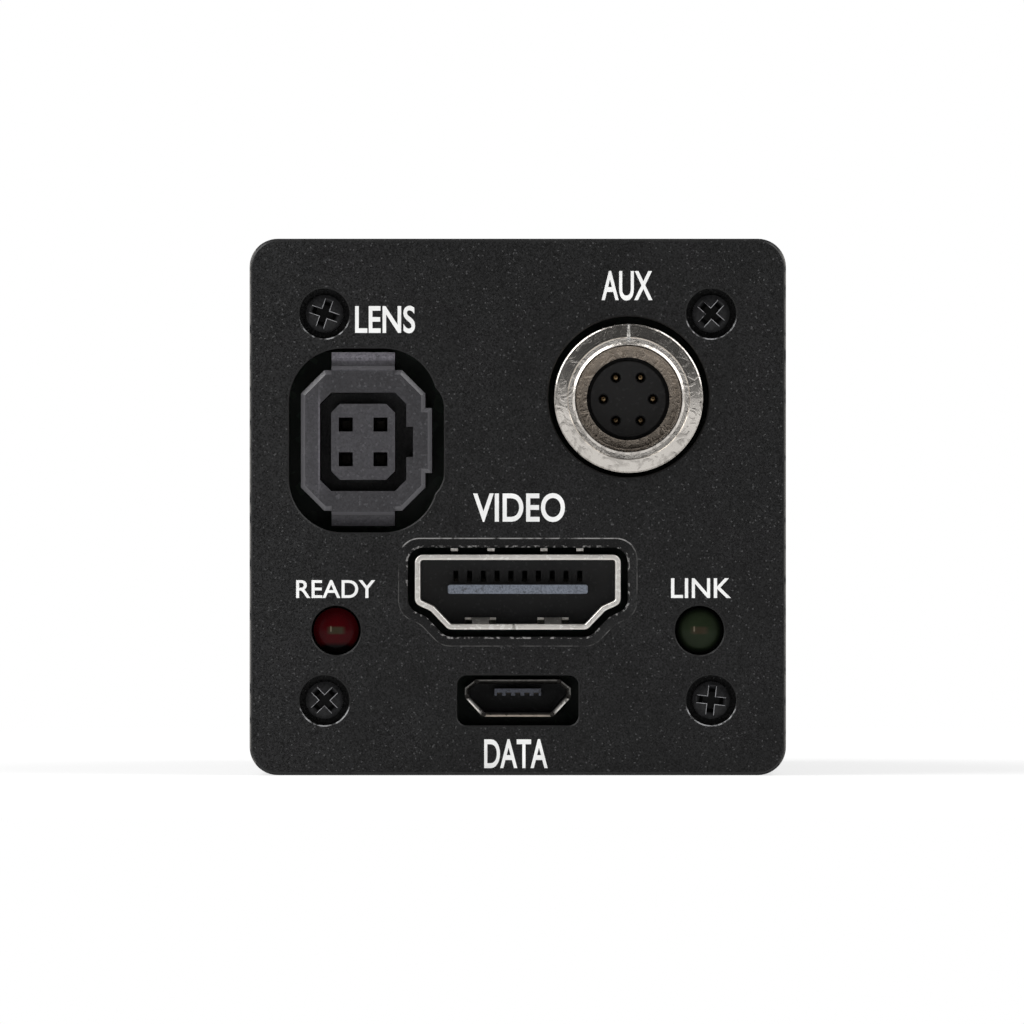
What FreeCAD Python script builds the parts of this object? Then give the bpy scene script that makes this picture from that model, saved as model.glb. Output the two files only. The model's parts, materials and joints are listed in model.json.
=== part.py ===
import FreeCAD
import Part
import math
import os

Vector = FreeCAD.Vector

# Compact box camera: a square body with its sockets in the rear panel and a small lens in front.
# Millimetres. X is to the right seen from behind, Y runs forward along the optical axis, Z is up.
# The origin is the mouth of the tripod socket in the underside.

# Body shells
SOCKET_SIDE_MARGIN = 3.63
BODY_CORNER_R = 2.0
BLOCK_LENGTH = 14.0
TRIPOD_TO_FRONT = 7.0
SLEEVE_LENGTH = 28.0
SLEEVE_WALL = 1.8
PANEL_THICKNESS = 2.0
EDGE_BREAK = 0.2
RIM_BREAK = 0.09
SEAM_BREAK = 0.12
TRIPOD_R = 2.55
TRIPOD_DEPTH = 5.0

# Corner screws, four through the rear panel and four through the front block
SCREW_INSET = 5.3
SCREW_SHANK_D = 1.6
SCREW_HEAD_D = 2.65
SCREW_HEAD_H = 0.9
SCREW_HEAD_DEPTH = 0.45
SCREW_DOME = 0.3
SCREW_SEAT_D = 3.55
SCREW_GRIP = 5.0
SCREW_HOLE_GAP = 0.1
THREAD_GAP = 0.02
BOSS_R = 2.2
FRONT_SEAT_DEPTH = 8.0
CROSS_LENGTH = 2.35
CROSS_FLOOR = 1.2
CROSS_WIDTH = 0.5
CROSS_DEPTH = 0.7
CROSS_BREAK = 0.05
REAR_CROSS_TURNS = {(-1, 1): 19, (1, 1): 42, (-1, -1): 46, (1, -1): 6}
FRONT_CROSS_TURNS = {(-1, 1): 20, (1, 1): 5, (-1, -1): 60, (1, -1): 35}

# Lens mount in the front block
MOUNT_RING_D = 30.0
MOUNT_RING_WALL = 2.3
MOUNT_THREAD_GAP = 0.05
RING_FIT = 0.05
RING_SEAT_DEPTH = 3.0
RING_PROUD = 1.5
RING_LIP = 0.25
LENS_BORE_GAP = 0.3
LENS_BORE_DEPTH = 6.0
SET_SCREW_D = 1.6
SET_SCREW_LENGTH = 3.6
SET_SCREW_KEY_D = 0.8
SET_SCREW_KEY_DEPTH = 0.9

# Filter and image sensor
FLANGE_DISTANCE = 12.5
FILTER_D = 16.8
FILTER_THICKNESS = 0.8
FILTER_FIT = 0.05
FILTER_RING_T = 1.0
FILTER_RING_WALL = 1.7
SENSOR_W = 12.0
SENSOR_H = 10.5
SENSOR_THICKNESS = 1.4
SENSOR_DIE_DEPTH = 0.4
COVER_GLASS_MARGIN = 0.8
COVER_GLASS_T = 0.5
WINDOW_MARGIN = 0.25
GASKET_T = 0.4
SENSOR_BOARD_SIZE = 25.0
SENSOR_BOARD_T = 1.0
SENSOR_BOARD_R = 2.0
SENSOR_BOARD_GAP = 0.3
SENSOR_SCREW_INSET = 1.7
SENSOR_SCREW_DEPTH = 3.0
SMALL_HEAD_D = 2.4
SMALL_HEAD_H = 0.8

# Boards and what holds them apart
BOARD_T = 1.2
BOARD_EDGE_GAP = 0.4
FRONT_STANDOFF = 8.4
STANDOFF_AF = 3.0
STANDOFF_X = 8.6
STANDOFF_INSET = 2.5
STANDOFF_STUD = 3.0
PROCESSOR_SIZE = 14.0
PROCESSOR_T = 1.4
MEMORY_W = 9.0
MEMORY_H = 6.0
MEMORY_T = 1.0
MEMORY_SPACING = 11.0
LINK_LENGTH = 12.0
LINK_WIDTH = 2.2
LINK_SHELL = 0.4
LINK_INSET = 9.0
SOCKET_STAND = 10.4

# Lens control socket, left of the axis
LENS_SOCKET_X = 10.96
LENS_SOCKET_W = 8.82
LENS_SOCKET_H = 9.96
LENS_SOCKET_CORNER = 1.65
LENS_SOCKET_SUNK = 0.3
LENS_SOCKET_BEVEL = 0.3
LENS_SOCKET_BEVEL_DEPTH = 0.22
LENS_TAB_W = 4.48
LENS_TAB_REACH = 1.18
LENS_TAB_RISE = 0.1
LENS_TAB_LEDGE = 0.3
LENS_TAB_BEVEL = 0.22
LENS_TAB_STEP = 0.12
LENS_TAB_SLOPE = 0.45
LENS_TAB_BOSS_GAP = 0.53
LENS_RIB_H = 4.6
LENS_RIB_REACH = 0.47
LENS_CAVITY_W = 6.12
LENS_CAVITY_H = 6.98
LENS_CAVITY_CORNER = 0.8
LENS_CAVITY_DROP = 0.1
LENS_CAVITY_DEPTH = 6.5
LENS_KEY_H = 2.14
LENS_KEY_DEPTH = 0.48
LENS_ISLAND_GAP = 0.8
LENS_ISLAND_CORNER = 0.62
LENS_PIN_HOLE = 1.0
LENS_PIN_PITCH = 2.46
LENS_CONTACT = 0.6
LENS_CONTACT_SUNK = 4.0
LENS_CUTOUT_SIDE = 0.85
LENS_CUTOUT_END = 0.36
LENS_CUTOUT_R = 3.8
LENS_RIB_CUT_END = 2.0
LENS_RIB_CUT_R = 2.0

# Round control socket, upper right
CONTROL_X = 7.85
CONTROL_Z = 7.68
CONTROL_D = 10.54
CONTROL_PROUD = 0.6
CONTROL_STEM_D = 9.0
CONTROL_STEM = 4.0
CONTROL_FACE_IN_D = 8.7
CONTROL_FACE_SLOPE = 0.15
CONTROL_STEP_D = 8.56
CONTROL_STEP = 0.12
CONTROL_LAND_D = 7.96
CONTROL_MOUTH_D = 7.4
CONTROL_BEVEL = 0.3
CONTROL_LEDGE_DEPTH = 0.9
CONTROL_BORE_D = 7.15
CONTROL_BORE_DEPTH = 4.2
CONTROL_KEY_W = 2.45
CONTROL_KEY_REACH = 0.16
CONTROL_MARK_W = 0.26
CONTROL_MARK_DEPTH = 0.26
CONTROL_RECESS_D = 5.9
CONTROL_RECESS_DEPTH = 1.2
CONTROL_CORE_D = 5.35
CONTROL_CORE_SUNK = 0.35
CONTROL_PIN_CIRCLE_D = 3.53
CONTROL_PIN_COUNT = 6
CONTROL_PIN_D = 0.58
CONTROL_PIN_TIP = 0.16
CONTROL_DIMPLE_D = 0.78
CONTROL_DIMPLE_DEPTH = 0.5
CONTROL_PIN_SUNK = 0.2
CONTROL_HOLE_GAP = 0.42
CONTROL_HOLE_RISE = 0.12

# Video socket, in the middle of the lower half
VIDEO_Z = -6.04
VIDEO_W = 14.6
VIDEO_H = 5.34
VIDEO_SIDE_H = 3.5
VIDEO_STEP_W = 1.1
VIDEO_STEP_H = 0.5
VIDEO_FOOT_W = 9.85
VIDEO_WALL = 0.4
VIDEO_CORNER_R = 0.6
VIDEO_RIM_R = 0.12
VIDEO_SUNK = 0.1
VIDEO_SEAM_X = -0.3
VIDEO_SEAM_W = 0.4
VIDEO_TONGUE_W = 9.92
VIDEO_TONGUE_H = 0.64
VIDEO_TONGUE_R = 0.16
VIDEO_TONGUE_RISE = 0.2
VIDEO_TONGUE_SUNK = 1.3
VIDEO_BASE_SUNK = 5.2
VIDEO_CONTACT_COUNT = 10
VIDEO_CONTACT_PITCH = 0.98
VIDEO_SLOT_W = 0.36
VIDEO_SLOT_H = 0.78
VIDEO_SLOT_RISE = 0.2
VIDEO_SLOT_DEPTH = 3.0
VIDEO_CONTACT_W = 0.24
VIDEO_CONTACT_T = 0.2
VIDEO_CONTACT_SUNK = 0.8
VIDEO_SPRING_XS = (-4.5, -1.9, 1.85, 4.4)
VIDEO_SPRING_W = 0.5
VIDEO_SPRING_RISE = 0.44
VIDEO_SPRING_T = 0.2
VIDEO_SPRING_START = 0.9
VIDEO_SPRING_LENGTH = 3.0
VIDEO_SPRING_ROOT = 1.0
VIDEO_WINDOW_XS = (-2.65, 2.5)
VIDEO_WINDOW_W = 2.3
VIDEO_WINDOW_START = 1.6
VIDEO_WINDOW_LENGTH = 2.6
VIDEO_LEAF_W = 1.2
VIDEO_LEAF_RISE = 0.46
VIDEO_TIP_W = 0.47
VIDEO_TIP_T = 0.17
VIDEO_TIP_ROOT = 0.6
VIDEO_GAP = 0.5
VIDEO_BEVEL = 0.68
VIDEO_BEVEL_R = 0.4
VIDEO_BEVEL_DEPTH = 0.35

# Service socket, at the foot
SERVICE_Z = -13.55
SERVICE_W = 7.5
SERVICE_H = 2.62
SERVICE_TOP_W = 5.95
SERVICE_SHOULDER_H = 0.6
SERVICE_SIDE_H = 0.65
SERVICE_FOOT_W = 5.0
SERVICE_WALL = 0.3
SERVICE_FLARE = 0.2
SERVICE_FLARE_DEPTH = 0.3
SERVICE_NOTCH_D = 0.34
SERVICE_NOTCH_DEPTH = 0.6
SERVICE_SUNK = 0.5
SERVICE_TONGUE_W = 3.3
SERVICE_TONGUE_H = 0.5
SERVICE_TONGUE_RISE = 0.41
SERVICE_TONGUE_SUNK = 1.1
SERVICE_BASE_SUNK = 4.5
SERVICE_CONTACT_COUNT = 5
SERVICE_CONTACT_PITCH = 0.65
SERVICE_GROOVE_W = 0.38
SERVICE_GROOVE_H = 0.22
SERVICE_CONTACT_W = 0.3
SERVICE_CONTACT_T = 0.12
SERVICE_CONTACT_SUNK = 0.4
SERVICE_GAP = 0.55
SERVICE_CUTOUT_DROP = 0.16
SERVICE_CUTOUT_R = 0.7

# Lamps, one on each side of the video socket
LAMP_X = 12.87
LAMP_Z = -8.75
LAMP_D = 3.2
LAMP_DOME = 0.45
LAMP_SUNK = 0.3
LAMP_LENGTH = 5.2
LAMP_HOLE_GAP = 0.15
LAMP_SPACER_D = 4.2
LAMP_LEAD_D = 0.5
LAMP_LEAD_PITCH = 2.0
LAMP_LEAD_GAP = 0.15

# Lens: barrel, focus ring and cell
LENS_THREAD_LENGTH = 3.8
LENS_COLLAR_REACH = 1.5
LENS_COLLAR_T = 1.5
BARREL_D = 22.0
BARREL_LENGTH = 7.0
CELL_D = 17.94
CELL_FIT = 0.03
CELL_THREAD_D = 19.1
CELL_REAR_REACH = 1.7
CELL_FRONT_REACH = 6.0
CELL_STEP_GAP = 0.6
FOCUS_TRAVEL = 0.8
FOCUS_RING_OVER = 0.1
FOCUS_RING_FIT = 0.05
FOCUS_RING_GAP = 0.3
FOCUS_FRONT_WALL = 4.0
GRIP_COUNT = 36
GRIP_DEPTH = 0.5
GRIP_WIDTH = 1.2
GRIP_LENGTH = 4.0
GRIP_FRONT_MARGIN = 0.8
LOCK_SCREW_D = 1.6
LOCK_SCREW_FIT = 0.05
LOCK_SCREW_ANGLE = 45
LOCK_SCREW_FROM_REAR = 4.6
LOCK_HEAD_D = 3.6
LOCK_HEAD_H = 2.6
LOCK_HEAD_GAP = 0.2
LOCK_GROOVE_W = 2.2
LOCK_GROOVE_DEPTH = 0.6
LOCK_TIP_GAP = 0.15
LOCK_KNURL_COUNT = 12
LOCK_KNURL_DEPTH = 0.2
GUIDE_PIN_D = 1.0
GUIDE_PIN_GAP = 0.05
GUIDE_PIN_FROM_COLLAR = 1.7
GUIDE_PIN_DEPTH = 2.0
GUIDE_PIN_TOP_GAP = 0.4

# Glass and rings inside the cell
GLASS_FIT = 0.04
FRONT_GLASS_D = 15.3
FRONT_GLASS_EDGE = 2.0
FRONT_GLASS_DOME = 1.2
FRONT_GLASS_HOLLOW = 0.6
FRONT_POCKET_DEPTH = 5.0
FRONT_RING_T = 1.8
FRONT_RING_WALL = 0.95
MIDDLE_GLASS_D = 12.9
MIDDLE_GLASS_EDGE = 1.8
MIDDLE_GLASS_DOME = 0.7
MIDDLE_POCKET_DEPTH = 5.4
SPACER_WALL = 0.7
STOP_THICKNESS = 0.4
STOP_HOLE_D = 4.4
CELL_BORE_D = 10.0
REAR_GLASS_D = 11.8
REAR_GLASS_EDGE = 2.0
REAR_GLASS_DOME = 0.6
REAR_POCKET_DEPTH = 4.2
REAR_RING_T = 1.5
REAR_RING_WALL = 1.1

# Places worked out from the sizes above
body_half = LENS_SOCKET_X + LENS_SOCKET_W / 2 + SOCKET_SIDE_MARGIN
axis_z = body_half
inner_half = body_half - SLEEVE_WALL
screw_at = body_half - SCREW_INSET
boss_edge = screw_at - BOSS_R
block_front = TRIPOD_TO_FRONT
block_rear = block_front - BLOCK_LENGTH
panel_front = block_rear - SLEEVE_LENGTH
panel_rear = panel_front - PANEL_THICKNESS
mount_thread_d = MOUNT_RING_D - 2 * MOUNT_RING_WALL
lens_bore_d = mount_thread_d + 2 * LENS_BORE_GAP
collar_d = mount_thread_d + 2 * LENS_COLLAR_REACH
focus_ring_d = collar_d + 2 * FOCUS_RING_OVER
flange_y = block_front + RING_PROUD
ring_seat_y = block_front - RING_SEAT_DEPTH
bore_floor = block_front - LENS_BORE_DEPTH
filter_floor = bore_floor - FILTER_THICKNESS - FILTER_RING_T - FILTER_FIT
image_plane = flange_y - FLANGE_DISTANCE
sensor_front = image_plane + SENSOR_DIE_DEPTH
sensor_rear = sensor_front - SENSOR_THICKNESS
web_rear = sensor_front + GASKET_T
sensor_board_rear = sensor_rear - SENSOR_BOARD_T
sensor_screw_at = SENSOR_BOARD_SIZE / 2 - SENSOR_SCREW_INSET
processor_front = block_rear - FRONT_STANDOFF
processor_rear = processor_front - BOARD_T
connector_rear = panel_rear + SOCKET_STAND
connector_front = connector_rear + BOARD_T
standoff_z = inner_half - STANDOFF_INSET
lens_socket_z = boss_edge - LENS_TAB_BOSS_GAP - LENS_TAB_RISE - LENS_TAB_REACH - LENS_SOCKET_H / 2
lens_cavity_z = lens_socket_z - LENS_CAVITY_DROP
collar_front = flange_y + LENS_COLLAR_T
barrel_front = collar_front + BARREL_LENGTH
barrel_rear = flange_y - LENS_THREAD_LENGTH
cell_front = barrel_front + CELL_FRONT_REACH
cell_rear = barrel_rear - CELL_REAR_REACH
ring_rear = collar_front + FOCUS_RING_GAP
ring_step = barrel_front + FOCUS_RING_GAP
ring_front = ring_step + FOCUS_FRONT_WALL
front_floor = cell_front - FRONT_POCKET_DEPTH
stop_y = front_floor - MIDDLE_POCKET_DEPTH
rear_floor = cell_rear + REAR_POCKET_DEPTH
middle_glass_y = stop_y + STOP_THICKNESS
rear_glass_y = rear_floor - REAR_GLASS_EDGE
TOUCH = 1e-6
corner_signs = [(-1, 1), (1, 1), (-1, -1), (1, -1)]


def spot(x, z, y=0.0):
    """Point measured from the optical axis."""
    return Vector(x, y, axis_z + z)


def outline(points, radius=0.0):
    """Closed wire through corner points (x, z); radius is one value or one for each corner."""
    count = len(points)
    radii = radius if isinstance(radius, list) else [radius] * count
    corners = [spot(x, z) for x, z in points]
    rounds = []
    for i, corner in enumerate(corners):
        before = (corners[i - 1] - corner).normalize()
        after = (corners[(i + 1) % count] - corner).normalize()
        half_angle = before.getAngle(after) / 2
        reach = radii[i] / math.tan(half_angle)
        inward = (before + after).normalize()
        middle = corner + inward * (radii[i] / math.sin(half_angle) - radii[i])
        rounds.append((corner + before * reach, middle, corner + after * reach))
    edges = []
    for i, (start, middle, end) in enumerate(rounds):
        if radii[i] > 0:
            edges.append(Part.Arc(start, middle, end).toShape())
        edges.append(Part.makeLine(end, rounds[(i + 1) % count][0]))
    return Part.Wire(edges)


def moved_out(points, distance):
    """Corner points with every side moved outwards; the points run anticlockwise."""
    moved = []
    for i, (x, z) in enumerate(points):
        sides = [(points[i - 1], points[i]), (points[i], points[(i + 1) % len(points)])]
        normals = []
        for (ax, az), (bx, bz) in sides:
            length = math.hypot(bx - ax, bz - az)
            normals.append(((bz - az) / length, (ax - bx) / length))
        (px, pz), (qx, qz) = normals
        share = distance / (1 + px * qx + pz * qz)
        moved.append((x + (px + qx) * share, z + (pz + qz) * share))
    return moved


def rectangle(width, height, x=0.0, z=0.0):
    left, right = x - width / 2, x + width / 2
    low, high = z - height / 2, z + height / 2
    return [(left, low), (right, low), (right, high), (left, high)]


def octagon(width, height, corner, x=0.0, z=0.0):
    """Rectangle with its four corners cut at 45 degrees."""
    points = []
    for sx, sz in [(-1, -1), (1, -1), (1, 1), (-1, 1)]:
        side = (x + sx * width / 2, z + sz * (height / 2 - corner))
        end = (x + sx * (width / 2 - corner), z + sz * height / 2)
        points += [side, end] if sx == sz else [end, side]
    return points


def prism(wire, y_from, y_to):
    face = Part.Face(wire)
    face.translate(Vector(0, y_from, 0))
    return face.extrude(Vector(0, y_to - y_from, 0))


def taper(wire_a, y_a, wire_b, y_b):
    """Solid between two outlines with the same corners."""
    low, high = wire_a.copy(), wire_b.copy()
    low.translate(Vector(0, y_a, 0))
    high.translate(Vector(0, y_b, 0))
    return Part.makeLoft([low, high], True, True)


def block(width, height, y_from, y_to, x=0.0, z=0.0):
    return prism(outline(rectangle(width, height, x, z)), y_from, y_to)


def rod(diameter, y_from, y_to, x=0.0, z=0.0):
    return Part.makeCylinder(diameter / 2, y_to - y_from, spot(x, z, y_from), Vector(0, 1, 0))


def strip(profile, x, width):
    """Solid of one width across X from (y, z) points of its side."""
    points = [spot(x - width / 2, z, y) for y, z in profile]
    return Part.Face(Part.makePolygon(points + points[:1])).extrude(Vector(width, 0, 0))


def turned(profile, x=0.0, z=0.0):
    """Solid turned about a line along Y; the profile holds (radius, y) points."""
    points = [spot(x + radius, z, y) for radius, y in profile]
    face = Part.Face(Part.makePolygon(points + points[:1]))
    return face.revolve(spot(x, z), Vector(0, 1, 0), 360)


def runs(profile):
    """Straight edges through (radius, y) points."""
    points = [spot(radius, 0, y) for radius, y in profile]
    return [Part.makeLine(start, end) for start, end in zip(points, points[1:])]


def dome(rim, y, rise):
    """Arc from a rim to the axis, bulging along Y by its rise."""
    radius = (rim ** 2 + rise ** 2) / (2 * rise)
    depth = radius - math.copysign(math.sqrt(radius ** 2 - rim ** 2 / 4), radius)
    return Part.Arc(spot(rim, 0, y), spot(rim / 2, 0, y + rise - depth), spot(0, 0, y + rise)).toShape()


def spun(edges):
    """Solid turned about the optical axis from the edges of its half section."""
    wire = Part.Wire(Part.__sortEdges__(edges))
    return Part.Face(wire).revolve(spot(0, 0), Vector(0, 1, 0), 360)


def tube(outer_d, inner_d, y_from, y_to, x=0.0, z=0.0):
    return rod(outer_d, y_from, y_to, x, z).cut(rod(inner_d, y_from, y_to, x, z))


def group(shapes):
    return Part.makeCompound(shapes)


def end_face(shape, y):
    """The largest flat face of the shape that lies across the axis at y."""
    faces = []
    for face in shape.Faces:
        box = face.BoundBox
        if box.YLength < TOUCH and abs(box.YMin - y) < TOUCH:
            faces.append(face)
    return max(faces, key=lambda face: face.BoundBox.DiagonalLength)


def break_edges(shape, y, outer, rims):
    """Bevels the outer edge of the end face at y, and the rims of the holes in it."""
    face = end_face(shape, y)
    shape = shape.makeChamfer(outer, face.OuterWire.Edges)
    face = end_face(shape, y)
    holes = [wire for wire in face.Wires if not wire.isSame(face.OuterWire)]
    return shape.makeChamfer(rims, [edge for wire in holes for edge in wire.Edges])


def cross_screw(x, z, seat_y, length, toward, head_d, head_h, turn):
    """Domed cross-recess screw; toward is +1 or -1, the way along Y that its shank points."""
    top = seat_y - toward * head_h
    shoulder = top + toward * SCREW_DOME
    head_r, shank_r = head_d / 2, SCREW_SHANK_D / 2
    end = seat_y + toward * length
    profile = [(head_r, shoulder), (head_r, seat_y), (shank_r, seat_y), (shank_r, end), (0, end), (0, top)]
    screw = spun([dome(head_r, shoulder, -toward * SCREW_DOME)] + runs(profile))
    mouth, floor = rectangle(CROSS_LENGTH, CROSS_WIDTH), rectangle(CROSS_FLOOR, CROSS_WIDTH)
    slots = []
    for angle in (0, 90):
        slot = taper(outline(mouth), top, outline(floor), top + toward * CROSS_DEPTH)
        slot.rotate(spot(0, 0), Vector(0, 1, 0), angle)
        slots.append(slot)
    screw = screw.cut(slots)
    head = max(screw.Faces, key=lambda face: len(face.Edges))
    edges = [edge for edge in head.Edges if all(abs(v.Point.y - shoulder) > 1e-6 for v in edge.Vertexes)]
    screw = screw.makeChamfer(CROSS_BREAK, edges)
    screw.rotate(spot(0, 0), Vector(0, 1, 0), turn)
    screw.translate(Vector(x, 0, z))
    return screw


def hex_post(x, z, y_from, y_to):
    corner = STANDOFF_AF / math.sqrt(3)
    points = []
    for i in range(6):
        angle = math.radians(60 * i)
        points.append((x + corner * math.cos(angle), z + corner * math.sin(angle)))
    return prism(outline(points), y_from, y_to)


def cavity_outline(gap):
    """Inside of the sleeve between its corner bosses, kept clear by a gap."""
    wide, narrow = inner_half, boss_edge
    points = []
    for sx, sz in [(1, -1), (1, 1), (-1, 1), (-1, -1)]:
        flat, bend, upright = (sx * narrow, sz * wide), (sx * narrow, sz * narrow), (sx * wide, sz * narrow)
        points += [flat, bend, upright] if sx != sz else [upright, bend, flat]
    outer, inner = BOSS_R - gap, BOSS_R + gap
    return outline(moved_out(points, -gap), [outer, inner, outer] * 4)


def video_points():
    half, foot = VIDEO_W / 2, VIDEO_FOOT_W / 2
    top = VIDEO_Z + VIDEO_H / 2
    low = VIDEO_Z - VIDEO_H / 2
    side = top - VIDEO_SIDE_H
    left = [(-half, top), (-half, side), (VIDEO_STEP_W - half, side - VIDEO_STEP_H), (-foot, low)]
    return left + [(-x, z) for x, z in reversed(left)]


def service_points(z=SERVICE_Z):
    half, foot, cap = SERVICE_W / 2, SERVICE_FOOT_W / 2, SERVICE_TOP_W / 2
    top, low = z + SERVICE_H / 2, z - SERVICE_H / 2
    shoulder = top - SERVICE_SHOULDER_H
    left = [(-cap, top), (-half, shoulder), (-half, shoulder - SERVICE_SIDE_H), (-foot, low)]
    return left + [(-x, z) for x, z in reversed(left)]


def rear_panel():
    panel = prism(outline(rectangle(2 * body_half, 2 * body_half), BODY_CORNER_R), panel_rear, panel_front)
    cut_w = LENS_SOCKET_W + 2 * LENS_CUTOUT_SIDE
    cut_h = LENS_SOCKET_H + 2 * (LENS_TAB_REACH + LENS_CUTOUT_END)
    lens_cut = rectangle(cut_w, cut_h, -LENS_SOCKET_X, lens_socket_z)
    rib_w, rib_h = cut_w / 2 + LENS_RIB_REACH, LENS_RIB_H + 2 * LENS_RIB_CUT_END
    rib_cut = rectangle(rib_w, rib_h, rib_w / 2 - LENS_SOCKET_X, lens_socket_z)
    service_cut = rectangle(SERVICE_W + 2 * SERVICE_GAP, SERVICE_H + 2 * SERVICE_GAP - SERVICE_CUTOUT_DROP, 0,
                            SERVICE_Z - SERVICE_CUTOUT_DROP)
    holes = [prism(outline(lens_cut, LENS_CUTOUT_R), panel_rear, panel_front)]
    holes.append(prism(outline(rib_cut, LENS_RIB_CUT_R), panel_rear, panel_front))
    holes.append(prism(outline(service_cut, SERVICE_CUTOUT_R), panel_rear, panel_front))
    control_z = CONTROL_Z + CONTROL_HOLE_RISE
    holes.append(rod(CONTROL_D + 2 * CONTROL_HOLE_GAP, panel_rear, panel_front, CONTROL_X, control_z))
    for side in (-1, 1):
        holes.append(rod(LAMP_D + 2 * LAMP_HOLE_GAP, panel_rear, panel_front, side * LAMP_X, LAMP_Z))
    seat_y = panel_rear + SCREW_HEAD_DEPTH + SCREW_HEAD_H
    for sx, sz in corner_signs:
        x, z = sx * screw_at, sz * screw_at
        holes.append(rod(SCREW_SEAT_D, panel_rear, seat_y, x, z))
        holes.append(rod(SCREW_SHANK_D + 2 * SCREW_HOLE_GAP, seat_y, panel_front, x, z))
    panel = break_edges(panel.cut(holes), panel_rear, EDGE_BREAK, RIM_BREAK)
    inner = moved_out(video_points(), VIDEO_GAP)
    outer = moved_out(inner, VIDEO_BEVEL)
    throat_r = VIDEO_CORNER_R + VIDEO_GAP
    mouth, throat = outline(outer, throat_r + VIDEO_BEVEL_R), outline(inner, throat_r)
    rim = taper(mouth, panel_rear, throat, panel_rear + VIDEO_BEVEL_DEPTH)
    return panel.cut([prism(throat, panel_rear, panel_front), rim])


def rear_panel_screws():
    seat_y = panel_rear + SCREW_HEAD_DEPTH + SCREW_HEAD_H
    length = panel_front - seat_y + SCREW_GRIP
    screws = []
    for sx, sz in corner_signs:
        screws.append(cross_screw(sx * screw_at, sz * screw_at, seat_y, length, 1, SCREW_HEAD_D,
                                  SCREW_HEAD_H, REAR_CROSS_TURNS[sx, sz]))
    return group(screws)


def housing_sleeve():
    sleeve = prism(outline(rectangle(2 * body_half, 2 * body_half), BODY_CORNER_R), panel_front, block_rear)
    holes = [prism(cavity_outline(0), panel_front, block_rear)]
    for sx, sz in corner_signs:
        for y in (panel_front, block_rear - SCREW_GRIP):
            holes.append(rod(SCREW_SHANK_D + 2 * THREAD_GAP, y, y + SCREW_GRIP, sx * screw_at, sz * screw_at))
    sleeve = sleeve.cut(holes)
    for y in (panel_front, block_rear):
        sleeve = sleeve.makeChamfer(SEAM_BREAK, end_face(sleeve, y).OuterWire.Edges)
    return sleeve


def front_block():
    body = prism(outline(rectangle(2 * body_half, 2 * body_half), BODY_CORNER_R), block_rear, block_front)
    pocket = SENSOR_BOARD_SIZE + 2 * SENSOR_BOARD_GAP
    hollow = prism(outline(rectangle(pocket, pocket), SENSOR_BOARD_R), block_rear, web_rear)
    posts = []
    holes = [rod(lens_bore_d, bore_floor, block_front)]
    holes.append(rod(MOUNT_RING_D + 2 * RING_FIT, ring_seat_y, block_front))
    holes.append(rod(FILTER_D + 2 * FILTER_FIT, filter_floor, bore_floor))
    window_w = SENSOR_W - 2 * (COVER_GLASS_MARGIN - WINDOW_MARGIN)
    window_h = SENSOR_H - 2 * (COVER_GLASS_MARGIN - WINDOW_MARGIN)
    holes.append(block(window_w, window_h, web_rear, filter_floor))
    holes.append(Part.makeCylinder(TRIPOD_R, TRIPOD_DEPTH, Vector(0, 0, 0), Vector(0, 0, 1)))
    seat_y = block_front - FRONT_SEAT_DEPTH
    for sx, sz in corner_signs:
        x, z = sx * screw_at, sz * screw_at
        holes.append(rod(SCREW_SEAT_D, seat_y, block_front, x, z))
        holes.append(rod(SCREW_SHANK_D + 2 * SCREW_HOLE_GAP, block_rear, seat_y, x, z))
        stud_hole = SCREW_SHANK_D + 2 * THREAD_GAP
        holes.append(rod(stud_hole, block_rear, block_rear + STANDOFF_STUD, sx * STANDOFF_X, sz * standoff_z))
        x, z = sx * sensor_screw_at, sz * sensor_screw_at
        posts.append(block(2 * SENSOR_SCREW_INSET, 2 * SENSOR_SCREW_INSET, sensor_rear, web_rear, x, z))
        holes.append(rod(stud_hole, sensor_rear, sensor_rear + SENSOR_SCREW_DEPTH, x, z))
    for direction in (Vector(1, 0, 0), Vector(-1, 0, 0), Vector(0, 0, 1)):
        start = spot(0, 0, set_screw_y())
        holes.append(Part.makeCylinder(SET_SCREW_D / 2 + THREAD_GAP, body_half, start, direction))
    body = body.cut(hollow.cut(posts)).cut(holes)
    return body.makeChamfer(EDGE_BREAK, end_face(body, block_front).OuterWire.Edges)


def set_screw_y():
    return block_front - RING_SEAT_DEPTH / 2


def front_block_screws():
    seat_y = block_front - FRONT_SEAT_DEPTH
    length = seat_y - block_rear + SCREW_GRIP
    screws = []
    for sx, sz in corner_signs:
        screws.append(cross_screw(sx * screw_at, sz * screw_at, seat_y, length, -1, SCREW_HEAD_D,
                                  SCREW_HEAD_H, FRONT_CROSS_TURNS[sx, sz]))
    return group(screws)


def lens_mount_ring():
    outer, inner = MOUNT_RING_D / 2, mount_thread_d / 2
    profile = [(inner, ring_seat_y), (outer, ring_seat_y), (outer, flange_y - RING_LIP)]
    return turned(profile + [(outer - RING_LIP, flange_y), (inner, flange_y)])


def mount_ring_set_screws():
    screws = []
    for direction in (Vector(1, 0, 0), Vector(-1, 0, 0), Vector(0, 0, 1)):
        start = spot(0, 0, set_screw_y()) + direction * MOUNT_RING_D / 2
        screw = Part.makeCylinder(SET_SCREW_D / 2, SET_SCREW_LENGTH, start, direction)
        key_start = start + direction * (SET_SCREW_LENGTH - SET_SCREW_KEY_DEPTH)
        key = Part.makeCylinder(SET_SCREW_KEY_D / 2, SET_SCREW_KEY_DEPTH, key_start, direction)
        screws.append(screw.cut(key))
    return group(screws)


def ir_filter():
    return rod(FILTER_D, filter_floor, filter_floor + FILTER_THICKNESS)


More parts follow.
